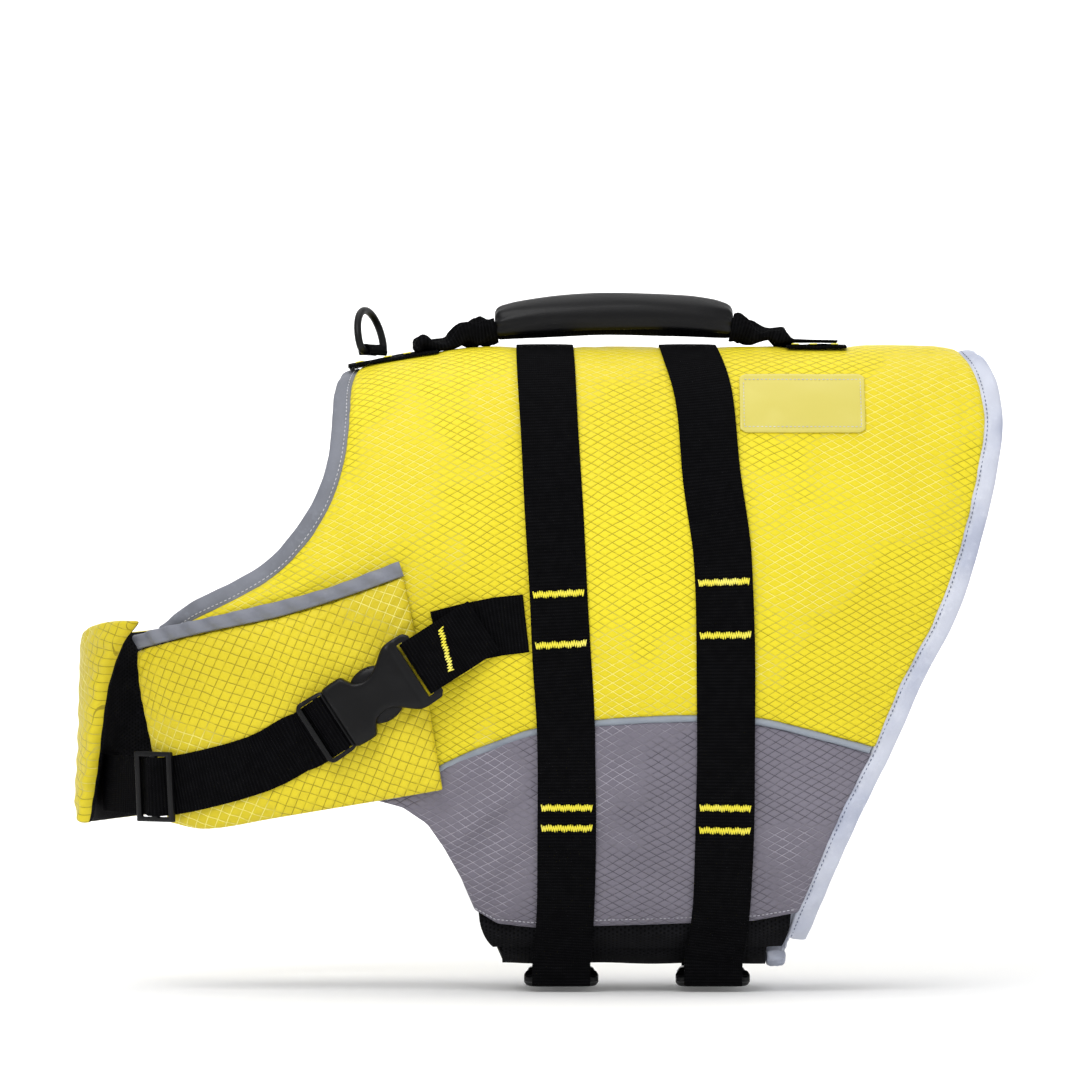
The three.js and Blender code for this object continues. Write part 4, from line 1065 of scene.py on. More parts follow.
def belly_left(face):
    def place(u, v):
        x = BELLY_FROM + 10 * MM * v * v + (BELLY_TO - BELLY_FROM - 16 * MM * v * v) * u
        start = side_bottom_turn(x)
        turn = start + (FLAP_END - start) * v
        lift = (-0.6 if face > 0 else -3.6) * MM + 0.4 * MM * np.sin(x / (9 * MM)) * v
        lift = lift - sunk(turn, start)
        return on_body(x, turn, lift), x, girth_of(turn)
    return place


def belly_right(face):
    def place(u, v):
        inset = 16 * MM * np.sin(np.pi * np.minimum(0.5, v))
        x = BELLY_FROM + inset + (BELLY_TO - BELLY_FROM - 2 * inset) * u
        start = 360 - side_bottom_turn(x)
        turn = start + (UNDER_START - start) * v
        tucked = np.clip((168.5 - turn) / 2.4, 0, 1)
        lift = (-0.6 if face > 0 else -3.6) * MM - 3.3 * MM * tucked**2 * (3 - 2 * tucked)
        lift = lift + 0.5 * MM * np.sin(x / (11 * MM)) * np.sin(np.pi * v)
        lift = lift - sunk(360 - turn, 360 - start) * (turn > 180)
        return on_body(x, turn, lift), x, girth_of(turn - 180)
    return place


for name, node, surface, rows, flat in (
    ("belly_flap_left", "belly_panel_left", belly_left, 14, (0.2, 0.024)),
    ("belly_mesh_right", "belly_panel_right", belly_right, 50, (0.2, 0.13)),
):
    panel, _, _, _ = slab(name, 70, rows, surface(1), surface(-1))
    smooth(panel, 60)
    dressed(panel, "black_mesh", MESH)
    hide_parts(node)

share = np.linspace(0.1, 0.86, 60)
inset = 16 * MM * np.sin(np.pi * np.minimum(0.5, share))
scrap_x = BELLY_TO - inset + 6.9 * MM
scrap_start = 360 - side_bottom_turn(np.full_like(share, BELLY_TO))
scrap_turn = scrap_start + (UNDER_START - scrap_start) * share
scrap_route = surface_route(on_body, scrap_x, scrap_turn, -2.1 * MM)
binding(
    "belly_edge_binding", "belly_binding", scrap_route, 12 * MM, 0, 2.4 * MM, SILVER, "reflective_binding",
    pleats=1.3, pitch=9 * MM,
)

# %% [markdown]
# Belly straps are one length each: sewn down over the back and turned round the bar of a buckle
# half at each end. Flat webbing is modelled directly along its route. Softening the route rounds
# the turn at the bar, as stiff webbing rounds it.

# %% Belly straps
WEB = 38 * MM
WEB_THICK = 1.8 * MM
WEB_LIFT = 1.6 * MM


class Place:
    """A buckle's own directions: along the strap, across it, and up from the body."""

    def __init__(self, centre, along, up):
        self.centre = np.array(centre, float)
        self.along = unit(np.array(along, float))
        self.up = unit(np.array(up, float))
        self.across = unit(np.cross(self.up, self.along))

    def at(self, a, b, c):
        a, b, c = (np.asarray(value, float)[..., None] for value in (a, b, c))
        return self.centre + a * self.along + b * self.across + c * self.up

    def matrix(self, direction=1):
        from_axes = np.eye(4)
        from_axes[:3, 0] = direction * self.along
        from_axes[:3, 1] = direction * self.across
        from_axes[:3, 2] = self.up
        from_axes[:3, 3] = self.centre
        return from_axes


BAR_TURN = [(45.8, 3.4), (39.6, 4), (37.2, 3.4), (36.4, 1.6), (36.4, -1.6), (37.2, -3.4), (39.6, -4)]
BELLY_Z = -405 * MM


def frame_points(place, rows, direction=1):
    return np.array([place.at(direction * a * MM, 0, c * MM) for a, c in rows])


belly_places = {}
belly_routes = {}
for name, rows in (("front", STRAP_FRONT), ("rear", STRAP_REAR)):
    centre = (rows[-1][1] * MM, 0, BELLY_Z)
    place = Place(centre, (0, -1, 0), (0, 0, -1))
    turns = np.linspace(-160, 160, 700)
    lie = on_body(read(rows, body_point(np.zeros(700), turns)[:, 2]), turns, WEB_LIFT)
    bend = [(52, -12), (48.6, -1.5), *BAR_TURN, (43.5, -6.4), (46.5, -13)]
    left = frame_points(place, bend)
    right = frame_points(place, bend, -1)
    points = np.concatenate([right[::-1], lie, left])
    route = Route(points, (1, 0, 0), soften=3)
    piece = strap(f"belly_webbing_{name}", route, WEB, WEB_THICK)
    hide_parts(f"belly_strap_{name}")
    belly_places[name] = place
    belly_routes[name] = route
print("belly straps, mm:", [round(r.length / MM) for r in belly_routes.values()])

# %% [markdown]
# Along the spine lie a short length of webbing in front and a sewn patch behind. The ring hangs in
# a loop of its own. Round wire is a tube on a closed route. The ring turns in its loop, so it is
# the one piece that rides on a body of its own.

# %% Spine webbing and the ring
SPINE_DROP = 2 * MM


def arched(u, v, across, over):
    return across, over - SPINE_DROP * np.abs(2 * u - 1) ** 1.5 + 0.3 * MM * np.sin(v * 9 + 5 * u)


def spine_route(start, end, lift=WEB_LIFT):
    x = np.linspace(start, end, 30) * MM
    return Route(on_body(x, np.zeros(30), lift), (0, 1, 0))


spine_front = spine_route(-184, -124)
spine_strip = strap("spine_webbing", spine_front, WEB, WEB_THICK, shape=arched, rows=14)
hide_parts("spine_strip")
spine_rear = spine_route(106, 146)
spine_patch = strap("spine_rear_patch", spine_rear, 42 * MM, WEB_THICK, shape=arched, rows=14)
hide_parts("spine_patch")

RING_WIRE = 2.5 * MM
RING_YAW = math.radians(24)
RING_LEAN = math.radians(-12)
ring_axis = np.array([math.sin(RING_YAW), math.cos(RING_YAW), 0])
ring_centre = np.array([-168, 0, 9.555]) * MM
ring_ahead = np.cross(ring_axis, [0, 0, 1])
ring_up = math.cos(RING_LEAN) * np.array([0, 0, 1]) + math.sin(RING_LEAN) * ring_ahead
ring_face = unit(np.cross(ring_axis, ring_up))


def ring_path(count):
    """The D, from the left foot along its straight bar and back over its arch."""
    angle = np.linspace(0, np.pi, 60)
    arch = np.stack([18.5 * np.cos(angle), 7 + 21 * np.sin(angle)], 1)
    foot = [(-15.5, 0), (0, 0), (15.5, 0), (17.9, 2.3)]
    path = np.concatenate([foot, arch, [(-17.9, 2.3), (-15.5, 0)]])
    steps = np.concatenate([[0], np.cumsum(np.linalg.norm(np.diff(path, axis=0), axis=1))])
    at = np.linspace(0, steps[-1], count)
    even = np.stack([np.interp(at, steps, path[:, k]) for k in range(2)], 1)[:-1]
    for _ in range(6):
        even = (np.roll(even, 1, 0) + 2 * even + np.roll(even, -1, 0)) / 4
    even = np.concatenate([even, even[:1]]) * MM
    return ring_centre + even[:, :1] * ring_axis + even[:, 1:] * ring_up


ring_points = ring_path(121)


def ring_place(a, b):
    row = np.round(b * 120).astype(int)
    ahead = ring_points[(row + 1) % 120]
    behind = ring_points[(row - 1) % 120]
    along = unit(ahead - behind)
    out = unit(np.cross(np.broadcast_to(ring_face, along.shape), along))
    angle = 2 * np.pi * a[..., None]
    points = ring_points[row] + RING_WIRE * (np.cos(angle) * ring_face + np.sin(angle) * out)
    return points, a * 0.0157, b * 0.12


d_ring = tube("lead_ring", 18, 120, ring_place, closed=True)
smooth(d_ring, 80)
dressed(d_ring, "black_plastic", PLASTIC, body=RING)
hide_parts("d_ring")

loop_angle = np.radians(np.linspace(-128, 128, 60))
loop_radius = 3.9 * MM
loop_ahead = unit(np.cross(ring_axis, [0, 0, 1]))
loop_arc = ring_centre + loop_radius * (
    np.sin(loop_angle)[:, None] * loop_ahead + np.cos(loop_angle)[:, None] * np.array([0, 0, 1])
)
loop_route = Route(loop_arc, ring_axis, step=0.4 * MM)
ring_loop = strap("ring_webbing", loop_route, 25 * MM, 1.6 * MM, step=0.7 * MM)
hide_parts("ring_loop")
print("ring, mm:", [round(side / MM) for side in d_ring.dimensions])

# %% [markdown]
# The handle is webbing inside a stuffed cloth sleeve. The sleeve is a tube that is fullest in its
# middle, with puckers at its ends and a closing seam low on its left side. At both ends the
# webbing comes out gathered, twists a little and widens again to where it is sewn down.

# %% The handle
GRIP = [
    (-87, 26.5, 12), (-72, 29.4, 13.6), (-44, 32.2, 15), (-8, 33.4, 15.2), (35, 32.2, 15), (58, 30, 14),
    (71, 27.5, 12),
]
SPLIT_MIDDLE = 270
SPLIT_HALF = 52
GRIP_FROM = -87 * MM
GRIP_TO = 71 * MM


def grip_place(a, b):
    x = GRIP_FROM + (GRIP_TO - GRIP_FROM) * b
    end = np.clip(np.minimum(x - GRIP_FROM, GRIP_TO - x) / (5 * MM), 0, 1)
    radius = read(GRIP, x, 0, 2) * (0.72 + 0.28 * np.sqrt(1 - (1 - end) ** 2))
    angle = 2 * np.pi * a
    fade = np.exp(-np.minimum(x - GRIP_FROM, GRIP_TO - x) / (9 * MM))
    radius = radius + 0.55 * MM * fade * np.sin(angle * 9 + 1.3 * np.sin(angle * 2))
    radius = radius + 0.28 * MM * np.sin(x / (19 * MM) + angle) * np.sin(angle * 2 + x / (31 * MM))
    split = np.radians(SPLIT_HALF) + 0.05 * np.sin(x / (30 * MM))
    inside = np.clip((split - np.abs(angle - np.radians(SPLIT_MIDDLE))) / 0.1, 0, 1)
    lip = np.exp(-(((np.abs(angle - np.radians(SPLIT_MIDDLE)) - split - 0.12) / 0.12) ** 2))
    radius = radius - 2.2 * MM * inside + 0.4 * MM * lip
    side = radius * np.cos(angle)
    centre = read(GRIP, x, 0, 1)
    points = np.stack([x, side * -1.0, centre + radius * np.sin(angle)], -1)
    return points, angle * 15 * MM, x


grip = tube("handle_sleeve", 120, 130, grip_place)
smooth(grip, 60)
dressed(grip, "black_webbing", SLEEVE, WEBBING)
for face in grip.data.polygons:
    drop = face.center.z - float(read(GRIP, np.array([face.center.x]), 0, 1)[0])
    turned = math.degrees(math.atan2(drop, -face.center.y)) % 360
    if abs(turned - SPLIT_MIDDLE) < SPLIT_HALF - 1:
        face.material_index = 1
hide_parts("handle_grip")

WEB_FRONT = [
    (-141, 10.4, 38, 3, 0), (-138, 12.4, 36, 10, 3), (-134, 13.6, 33, 12, -4), (-127, 13.6, 30, 8, 3),
    (-118, 15, 28, 7.4, 6), (-111, 19, 26, 14, 4), (-102, 21.6, 25, 19, -4), (-94, 22.4, 24, 19, 3),
    (-86, 24, 22, 16, 0),
]
WEB_REAR = [
    (70, 25.5, 22, 19, 0), (77, 24, 23, 19, 6), (84, 21.8, 25, 14, 10), (90, 21, 27, 8.4, 6),
    (96, 20.4, 29, 9, -6), (102, 18.4, 32, 13, -3), (107, 17.2, 34, 8, 2), (112, 16.6, 35, 3.2, 0),
    (140, 16.1, 37, 2, 0),
]


def gathered(name, node, rows, folds):
    x = np.linspace(rows[0][0], rows[-1][0], 90) * MM
    route = Route(np.stack([x, 0 * x, read(rows, x)], 1), (0, 1, 0), step=1 * MM)

    def place(a, b):
        s = b * route.length
        centre, side, up = route.read(s)
        at_x = centre[..., 0]
        wide = read(rows, at_x, 0, 2) / 2
        deep = read(rows, at_x, 0, 3) / 2
        twist = np.radians(read(rows, at_x / MM, 0, 4, 1))
        angle = 2 * np.pi * a
        gather = np.clip((deep / MM - 1.2) / 3, 0, 1)
        across = wide * np.sign(np.cos(angle)) * np.abs(np.cos(angle)) ** 0.75
        fold = np.cos(across / wide * folds * np.pi + 2.2 * np.sin(s / (21 * MM)))
        over = deep * np.sign(np.sin(angle)) * np.abs(np.sin(angle)) ** 0.6 * (0.82 + 0.18 * gather * fold)
        lumps = s / (3.4 * MM) + across / wide * 2.6 + 1.2 * np.sin(s / (7 * MM))
        over = over + gather * 1.3 * MM * np.sin(lumps)
        turned_across = across * np.cos(twist) - over * np.sin(twist)
        turned_over = across * np.sin(twist) + over * np.cos(twist)
        return route.place(s, turned_across, turned_over), across, s

    web = tube(name, 64, int(route.length / (1.1 * MM)), place)
    smooth(web, 60)
    dressed(web, "black_webbing", WEBBING)
    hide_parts(node)
    return web


gathered("handle_webbing_front", "handle_web_front", WEB_FRONT, 3)
gathered("handle_webbing_rear", "handle_web_rear", WEB_REAR, 3)
print("handle sleeve, mm:", [round(side / MM) for side in grip.dimensions])

# %% [markdown]
# The chest flap is a padded tongue that is part of the left front. It is fullest in its middle and
# pulled in at its bound upper edge and at its sides. The wing comes round the chest from the right
# and lies outside it, with gathered cloth at its free edge and black mesh inside.

# %% The chest flap
FLAP_LEFT = [(-183, -327), (-211, -324), (-246, -314), (-300, -299)]
FLAP_RIGHT = [(-135, -147), (-200, -133), (-278, -120)]
FLAP_TOP = [(0, -183), (0.4, -167), (0.7, -153), (1, -135)]
FLAP_BOTTOM = [(0, -300), (0.15, -304), (0.38, -297), (0.78, -285), (1, -278)]


def share_rows(rows, share):
    return read([(place / MM, height) for place, height in rows], share)


def flap_run(u, z):
    left = read(FLAP_LEFT, z)
    return left + (read(FLAP_RIGHT, z) - left) * u


def flap_surface(face):
    def place(u, v):
        top = share_rows(FLAP_TOP, u) - 5.4 * MM
        z = top + (share_rows(FLAP_BOTTOM, u) - top) * v
        run = flap_run(u, z)
        distance = edge_distance(u, v, 180 * MM, 130 * MM)
        full = crown(distance, 22 * MM)
        if face > 0:
            low = 5.8 * MM
            soft = 0.8 * MM * ripple(run, z, 0.9) + 1.4 * MM * pucker(distance, run - z, 13 * MM, 12 * MM)
            lift = low + (10.6 * MM - low) * full + soft * np.clip(distance / (6 * MM), 0, 1)
            lift = lift + (np.minimum(lift, 10.2 * MM) - lift) * strap_shadow(run, z)
        else:
            low = 2.2 * MM
            lift = low + (0.6 * MM - low) * full
        return on_chest(run, z, lift), run, z
    return place


CHEST_STRAP = [
    (-214, -247, 11.6), (-226, -254, 11.6), (-240, -261, 11.6), (-254, -266, 11.6), (-268, -270, 11.6),
    (-280, -273, 11.6), (-292.9, -275.6, 11.4), (-299.6, -276, 18.6), (-304.4, -276, 18.6),
    (-311.1, -276, 11.4), (-326, -276, 11.2), (-342, -276, 11.2), (-358, -276, 11.2), (-374, -276, 11.2),
    (-390, -276, 11.2), (-404, -276, 11.2), (-418, -276, 10.6),
]


def strap_shadow(run, z):
    """1 under the chest strap and its buckle, where the flap is pressed."""
    middle = read([(row[0], row[1]) for row in CHEST_STRAP], run)
    return np.clip(1 - (np.abs(z - middle) - 19 * MM) / (6 * MM), 0, 1) * (run < -212 * MM)


chest_flap, flap_pad_u, flap_pad_v, flap_pad_lower = slab(
    "chest_flap_pad", 72, 54, flap_surface(1), flap_surface(-1), 1,
)
dressed(chest_flap, "yellow_ripstop", FLAP_CLOTH, MESH)
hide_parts("chest_flap")

flap_u = np.linspace(0, 1, 120)
flap_route = surface_route(
    on_chest, flap_run(flap_u, share_rows(FLAP_TOP, flap_u)), share_rows(FLAP_TOP, flap_u), 4.8 * MM,
)
binding(
    "flap_edge_binding", "flap_binding", flap_route, 9.6 * MM, 0.4 * MM, 2.8 * MM, BINDING, "grey_binding",
    pleats=1.5, pitch=17 * MM,
)

# %% The chest wing
WING_THICK = 13 * MM


def bend_run(bend):
    return CHEST_X - bend * CHEST_RUN / 90


WING_FREE = [(-168, 46), (-183, 55), (-210, 64), (-236, 68), (-270, 72), (-303, 80)]
WING_REAR = [(-135, -623), (-278, -650)]
WING_TOP = [
    (0, -169), (0.06, -169), (0.13, -172), (0.2, -176), (0.3, -178), (0.45, -176), (0.7, -162), (1, -135),
]
WING_BOTTOM = [(0, -303), (0.15, -303), (0.4, -297), (0.7, -292), (1, -278)]
WING_LIFTS = [(40, 12), (60, 13), (100, 13), (122, 10), (145, 3), (165, 0.8), (400, 0.8)]


def wing_low(run, z):
    bend = (CHEST_X - run) * 90 / CHEST_RUN
    low = read([(b / MM, l) for b, l in WING_LIFTS], bend)
    flare = np.clip((-200 * MM - z) / (100 * MM), 0, 1)
    return low + 4 * MM * flare * np.clip((run - bend_run(120)) / (60 * MM), 0, 1)


def wing_surface(face):
    def place(u, v):
        top = share_rows(WING_TOP, u)
        z = top + (share_rows(WING_BOTTOM, u) - top) * v
        free = bend_run(read([(z_row, bend / MM) for z_row, bend in WING_FREE], z))
        run = free + (read(WING_REAR, z) - free) * u
        distance = edge_distance(u, v, 380 * MM, 120 * MM)
        full = crown(distance, 18 * MM)
        if face > 0:
            low = 0.8 * WING_THICK
            lift = wing_low(run, z) + low + (WING_THICK + 0.8 * MM - low) * full
            lift = lift + 1.1 * MM * np.cos(2 * np.pi * 9 * v + np.sin(7 * v)) * np.exp(-u / 0.1)
            lift = lift + 0.9 * MM * ripple(run, z, 1.0) * full
            lift = lift + 0.8 * MM * pucker(distance, run - z, 13 * MM, 10 * MM)
        else:
            lift = wing_low(run, z) + 0.3 * WING_THICK * (1 - full)
        return on_chest(run, z, lift), run, z
    return place


chest_wing, wing_pad_u, wing_pad_v, wing_pad_lower = slab(
    "chest_wing_pad", 132, 50, wing_surface(1), wing_surface(-1), 1,
)
dressed(chest_wing, "yellow_ripstop", FLAP_CLOTH, MESH)
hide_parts("chest_wing")
print("flap and wing faces:", len(chest_flap.data.polygons), len(chest_wing.data.polygons))

# %% [markdown]
# The plain patch stands where a sewn patch is on the left side of the back. It is a thin smooth
# film with a low rim and a stitched border, and it bears no sign.

# %% The plain patch
PATCH_X = 74 * MM
PATCH_Z = -8 * MM
PATCH_SIZE = (82 * MM, 38 * MM)


def patch_point(u, v, lift):
    x = PATCH_X + PATCH_SIZE[0] * u
    z = PATCH_Z - PATCH_SIZE[1] * v
    return on_body(x, turn_at(x, z), lift)


def patch_surface(face):
    def place(u, v):
        corner = np.maximum(np.abs(2 * u - 1) - 0.88, 0) / 0.12
        tall = 1 - 0.13 * corner**2
        middle = 0.5 + (v - 0.5) * tall
        distance = edge_distance(u, v, *PATCH_SIZE)
        rim = np.exp(-(((distance - 1.2 * MM) / (1.1 * MM)) ** 2))
        outer = 2.0 * MM + 0.45 * MM * rim + 0.25 * MM * ripple(u * 0.1, v * 0.1, 0.4)
        lift = outer if face > 0 else 0.9 * MM + 0 * u
        return patch_point(u, middle, lift), u * PATCH_SIZE[0], v * PATCH_SIZE[1]
    return place


plain_patch, _, _, _ = slab("plain_side_patch", 110, 60, patch_surface(1), patch_surface(-1))
smooth(plain_patch, 60)
dressed(plain_patch, "plain_patch", PATCH_FILM)
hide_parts("plain_patch")

# %% [markdown]
# A side-release buckle is two parts. The female one is a smooth hollow body with an arched window
# in each side, where the springy arms of the male one show, and the male one ends in an open frame
# for the webbing. One pair is modelled flat at the origin and copied to its three places.

# %% One buckle pair, modelled flat
FEMALE_HALF = [
    (-23.5, 20.6), (-21.5, 21.9), (-10, 22.4), (-7.4, 21.4), (-5.5, 18), (-3, 14.6), (1, 12.6), (5, 12.1),
    (9, 12.7), (13, 14.5), (17, 17.3), (21, 20.6), (25, 23.4), (29, 24.4), (38, 24.4), (41.5, 23.8),
    (44, 21),
]
MALE_HALF = [(23, 20.8), (26, 21.8), (38, 22.4), (41.5, 22), (44, 19.4)]


def moulded(name, rows, thick, thin, thin_from, dish=0.0):
    """A plate with an outline, rounded at its sides, thinning towards its bar."""
    start, end = rows[0][0], rows[-1][0]

    def face(side):
        def place(u, v):
            along = (start + (end - start) * v) * MM
            half = read(rows, along)
            across = (2 * u - 1) * half
            fall = np.clip((along / MM - thin_from) / 8, 0, 1)
            height = thick + (thin - thick) * fall * fall * (3 - 2 * fall)
            edge = np.clip(1 - np.abs(2 * u - 1) ** 8, 0, 1) ** 0.45
            ends = np.clip(np.minimum(along / MM - start, end - along / MM) / 2.2, 0, 1)
            over = side * height * MM / 2 * (0.5 + 0.5 * edge) * (0.7 + 0.3 * np.sqrt(1 - (1 - ends) ** 2))
            over = over - side * dish * MM * np.exp(-((along / (11 * MM)) ** 2)) * (1 - (2 * u - 1) ** 2)
            return np.stack([along, across, over], -1), across, along
        return place

    plate, _, _, _ = slab(name, 44, 60, face(1), face(-1))
    return plate


def box_tool(name, low, high):
    bpy.ops.object.select_all(action="DESELECT")
    size = [b - a for a, b in zip(low, high)]
    middle = [(a + b) / 2 for a, b in zip(low, high)]
    bpy.ops.mesh.primitive_cube_add(size=1, location=[value * MM for value in middle])
    tool = named(name)
    tool.scale = [value * MM for value in size]
    place_applied(tool)
    return tool


def cut(piece, *tools):
    for tool in tools:
        knife = piece.modifiers.new("cut", "BOOLEAN")
        knife.operation = "DIFFERENCE"
        knife.object = tool
        knife.solver = "EXACT"
    apply_modifiers(piece)
    for tool in tools:
        bpy.data.objects.remove(tool)


def rounded(piece, width, segments=3, angle=35):
    edge = piece.modifiers.new("edge", "BEVEL")
    edge.width = width
    edge.segments = segments
    edge.limit_method = "ANGLE"
    edge.angle_limit = math.radians(angle)
    apply_modifiers(piece)
    smooth(piece, 40)


female = moulded("female_pattern", FEMALE_HALF, 11.6, 4.8, 27, dish=0.5)
cut(female, box_tool("slot", (34, -19.6, -9), (38.2, 19.6, 9)))
male = moulded("male_pattern", MALE_HALF, 7.4, 5.0, 30)
cut(male, box_tool("opening", (25, -19.5, -9), (40.6, 19.5, 9)))
bar = box_tool("adjusting_bar", (27.6, -20.5, -1.5), (31, 20.5, 1.5))
rounded(bar, 0.9 * MM, 3)
pieces = [male, bar]
for side in (-1, 1):
    bpy.ops.object.select_all(action="DESELECT")
    arm_place = (-6 * MM, side * 10.6 * MM, 0)
    bpy.ops.mesh.primitive_uv_sphere_add(segments=40, ring_count=20, radius=1, location=arm_place)
    arm = named(f"arm_{side}")
    arm.scale = (13 * MM, 8.4 * MM, 3.6 * MM)
    place_applied(arm)
    smooth(arm, 60)
    pieces.append(arm)
    for k in range(4):
        low = (-11.4 + 2.7 * k, side * 15 - 3.4, -2.2)
        high = (-10.6 + 2.7 * k, side * 15 + 3.4, 2.2)
        rib = box_tool(f"arm_rib_{side}_{k}", low, high)
        rounded(rib, 0.3 * MM, 2)
        pieces.append(rib)
for half in (female, *pieces):
    smooth(half, 35)
male = joined("male_pattern", pieces)
print("buckle halves, faces:", len(female.data.polygons), len(male.data.polygons))


# %% Copying the pair to its places
def copied(pattern, name, matrix, node, material=PLASTIC):
    piece = pattern.copy()
    piece.data = pattern.data.copy()
    piece.name = name
    piece.data.name = name
    bpy.context.collection.objects.link(piece)
    points = points_of(piece)
    set_points(piece, points @ matrix[:3, :3].T + matrix[:3, 3])
    dressed(piece, "black_plastic", material)
    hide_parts(node)
    return piece


CHEST_BUCKLE_RUN = -167 * MM
CHEST_BUCKLE_Z = -219 * MM
buckle_spot = on_chest(np.array([CHEST_BUCKLE_RUN]), np.array([CHEST_BUCKLE_Z]), 17.4 * MM)[0]
buckle_up = normals_of(chest_point, np.array([CHEST_BUCKLE_RUN]), np.array([CHEST_BUCKLE_Z]), 1)[0]
level = unit(np.array([1.0, 0, 0]) - buckle_up * buckle_up[0])
rise = math.radians(33)
buckle_along = level * math.cos(rise) + np.cross(buckle_up, level) * math.sin(rise)
chest_place = Place(buckle_spot, buckle_along, buckle_up)
for name, node, place in (
    ("belly_front", "belly_buckle_front", belly_places["front"]),
    ("belly_rear", "belly_buckle_rear", belly_places["rear"]),
    ("chest", "chest_buckle", chest_place),
):
    copied(female, f"{name}_buckle_female", place.matrix(1), f"{node}_female")
    copied(male, f"{name}_buckle_male", place.matrix(-1), f"{node}_male")
bpy.data.objects.remove(female)
bpy.data.objects.remove(male)
print("chest buckle points along:", [round(float(value), 2) for value in chest_place.along])

# %% [markdown]
# The chest strap is turned round the male half's bar, lies along the flap, weaves through the
# slider and goes round inside the wing, where it is sewn. An anchor strap is sewn on the side, and
# a loop of the same webbing joins it to the female half.

# %% Chest webbing
anchor_rows = np.array([(-66, -170), (-84, -172), (-104, -176), (-124, -181)], float)
anchor_x = np.linspace(-124, -66, 40)
anchor_z = np.interp(anchor_x, anchor_rows[::-1, 0], anchor_rows[::-1, 1])
anchor_route = surface_route(on_chest, anchor_x * MM, anchor_z * MM, WEB_LIFT)
anchor = strap("anchor_webbing", anchor_route, WEB, WEB_THICK)
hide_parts("chest_anchor")

LOOP_IN = [(88, -12.9), (78, -12.6), (70, -10.8), (62, -7.5), (53, -0.5)]
LOOP_OUT = [(46, -5.2), (54, -8.6), (62, -12.2), (68, -13.1)]
loop_points = frame_points(chest_place, [*LOOP_IN, *BAR_TURN, *LOOP_OUT])
loop_way = Route(loop_points, chest_place.across, soften=3)
chest_loop = strap("buckle_loop_webbing", loop_way, WEB, WEB_THICK, step=1.8 * MM)
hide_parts("chest_loop")

rows = np.array(CHEST_STRAP) * MM
fine = np.linspace(0, len(rows) - 1, 260)
strap_run, strap_z, strap_lift = (np.interp(fine, np.arange(len(rows)), rows[:, k]) for k in range(3))
lie = on_chest(strap_run, strap_z, strap_lift)
ahead = on_chest(strap_run, strap_z, strap_lift + 1 * MM)
lie_side = unit(np.cross(unit(ahead - lie), unit(np.gradient(lie, axis=0))))
around = [
    (-29, -4.2), (-26.4, -3.4), (-25.2, -1.2), (-25.3, 1.4), (-26.6, 3.2), (-30, 3.8), (-34, 3.2),
    (-37.5, 0.8),
    (-40, -2.4), (-43.5, -4.6), (-50, -5.7),
]
turn_points = frame_points(chest_place, around)
turn_side = chest_place.across * np.sign(lie_side[0] @ chest_place.across)
points = np.concatenate([turn_points, lie])
sides = np.concatenate([np.tile(turn_side, (len(turn_points), 1)), lie_side])
chest_route = Route(points, sides, soften=4)
chest_strap = strap("chest_webbing", chest_route, WEB, WEB_THICK, step=2.4 * MM)
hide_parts("chest_strap")
print("chest strap, mm:", round(chest_route.length / MM))

# %% The slider on the chest strap
slider_spot = on_chest(np.array([-302 * MM]), np.array([-276 * MM]), 14.9 * MM)[0]
slider_up = normals_of(chest_point, np.array([-302 * MM]), np.array([-276 * MM]), 1)[0]
slider_place = Place(slider_spot, np.cross(slider_up, [0, 0, 1]), slider_up)
slider = box_tool("slider_pattern", (-15.5, -23, -1.7), (15.5, 23, 1.7))
front_slot = box_tool("slot_a", (2.6, -19.8, -5), (11.4, 19.8, 5))
rear_slot = box_tool("slot_b", (-11.4, -19.8, -5), (-2.6, 19.8, 5))
cut(slider, front_slot, rear_slot)
rounded(slider, 0.9 * MM, 3)
copied(slider, "chest_slider_frame", slider_place.matrix(1), "chest_slider")
bpy.data.objects.remove(slider)

# %% [markdown]
# The padded pieces are sewn flat shut and then rounded out by their foam. Blender's cloth does this
# best: each panel is let out a few thousandths, held at its rims, on its inner side and wherever
# webbing, binding or a patch lies on it, and a soft pressure from inside fills it. The move is kept
# to a few millimetres, so that nothing that lies on the cloth is buried.


# %% Filling out the padded panels
def freedom(piece, held, near=1.5 * MM, far=11 * MM):
    """0 where the cloth is held or something lies on it, rising to 1 away from it."""
    corners = []
    faces = []
    for other in bpy.data.objects:
        if other.type != "MESH" or other is piece or other.name in frame["nodes"] or other in UNDERNEATH:
            continue
        shift = len(corners)
        corners.extend(points_of(other).tolist())
        faces.extend([i + shift for i in face.vertices] for face in other.data.polygons)
    tree = BVHTree.FromPolygons(corners, faces)
    away = np.array([tree.find_nearest(Vector(point))[3] for point in points_of(piece)])
    free = np.clip((away - near) / (far - near), 0, 1)
    free = free * free * (3 - 2 * free)
    free[held] = 0
    return free


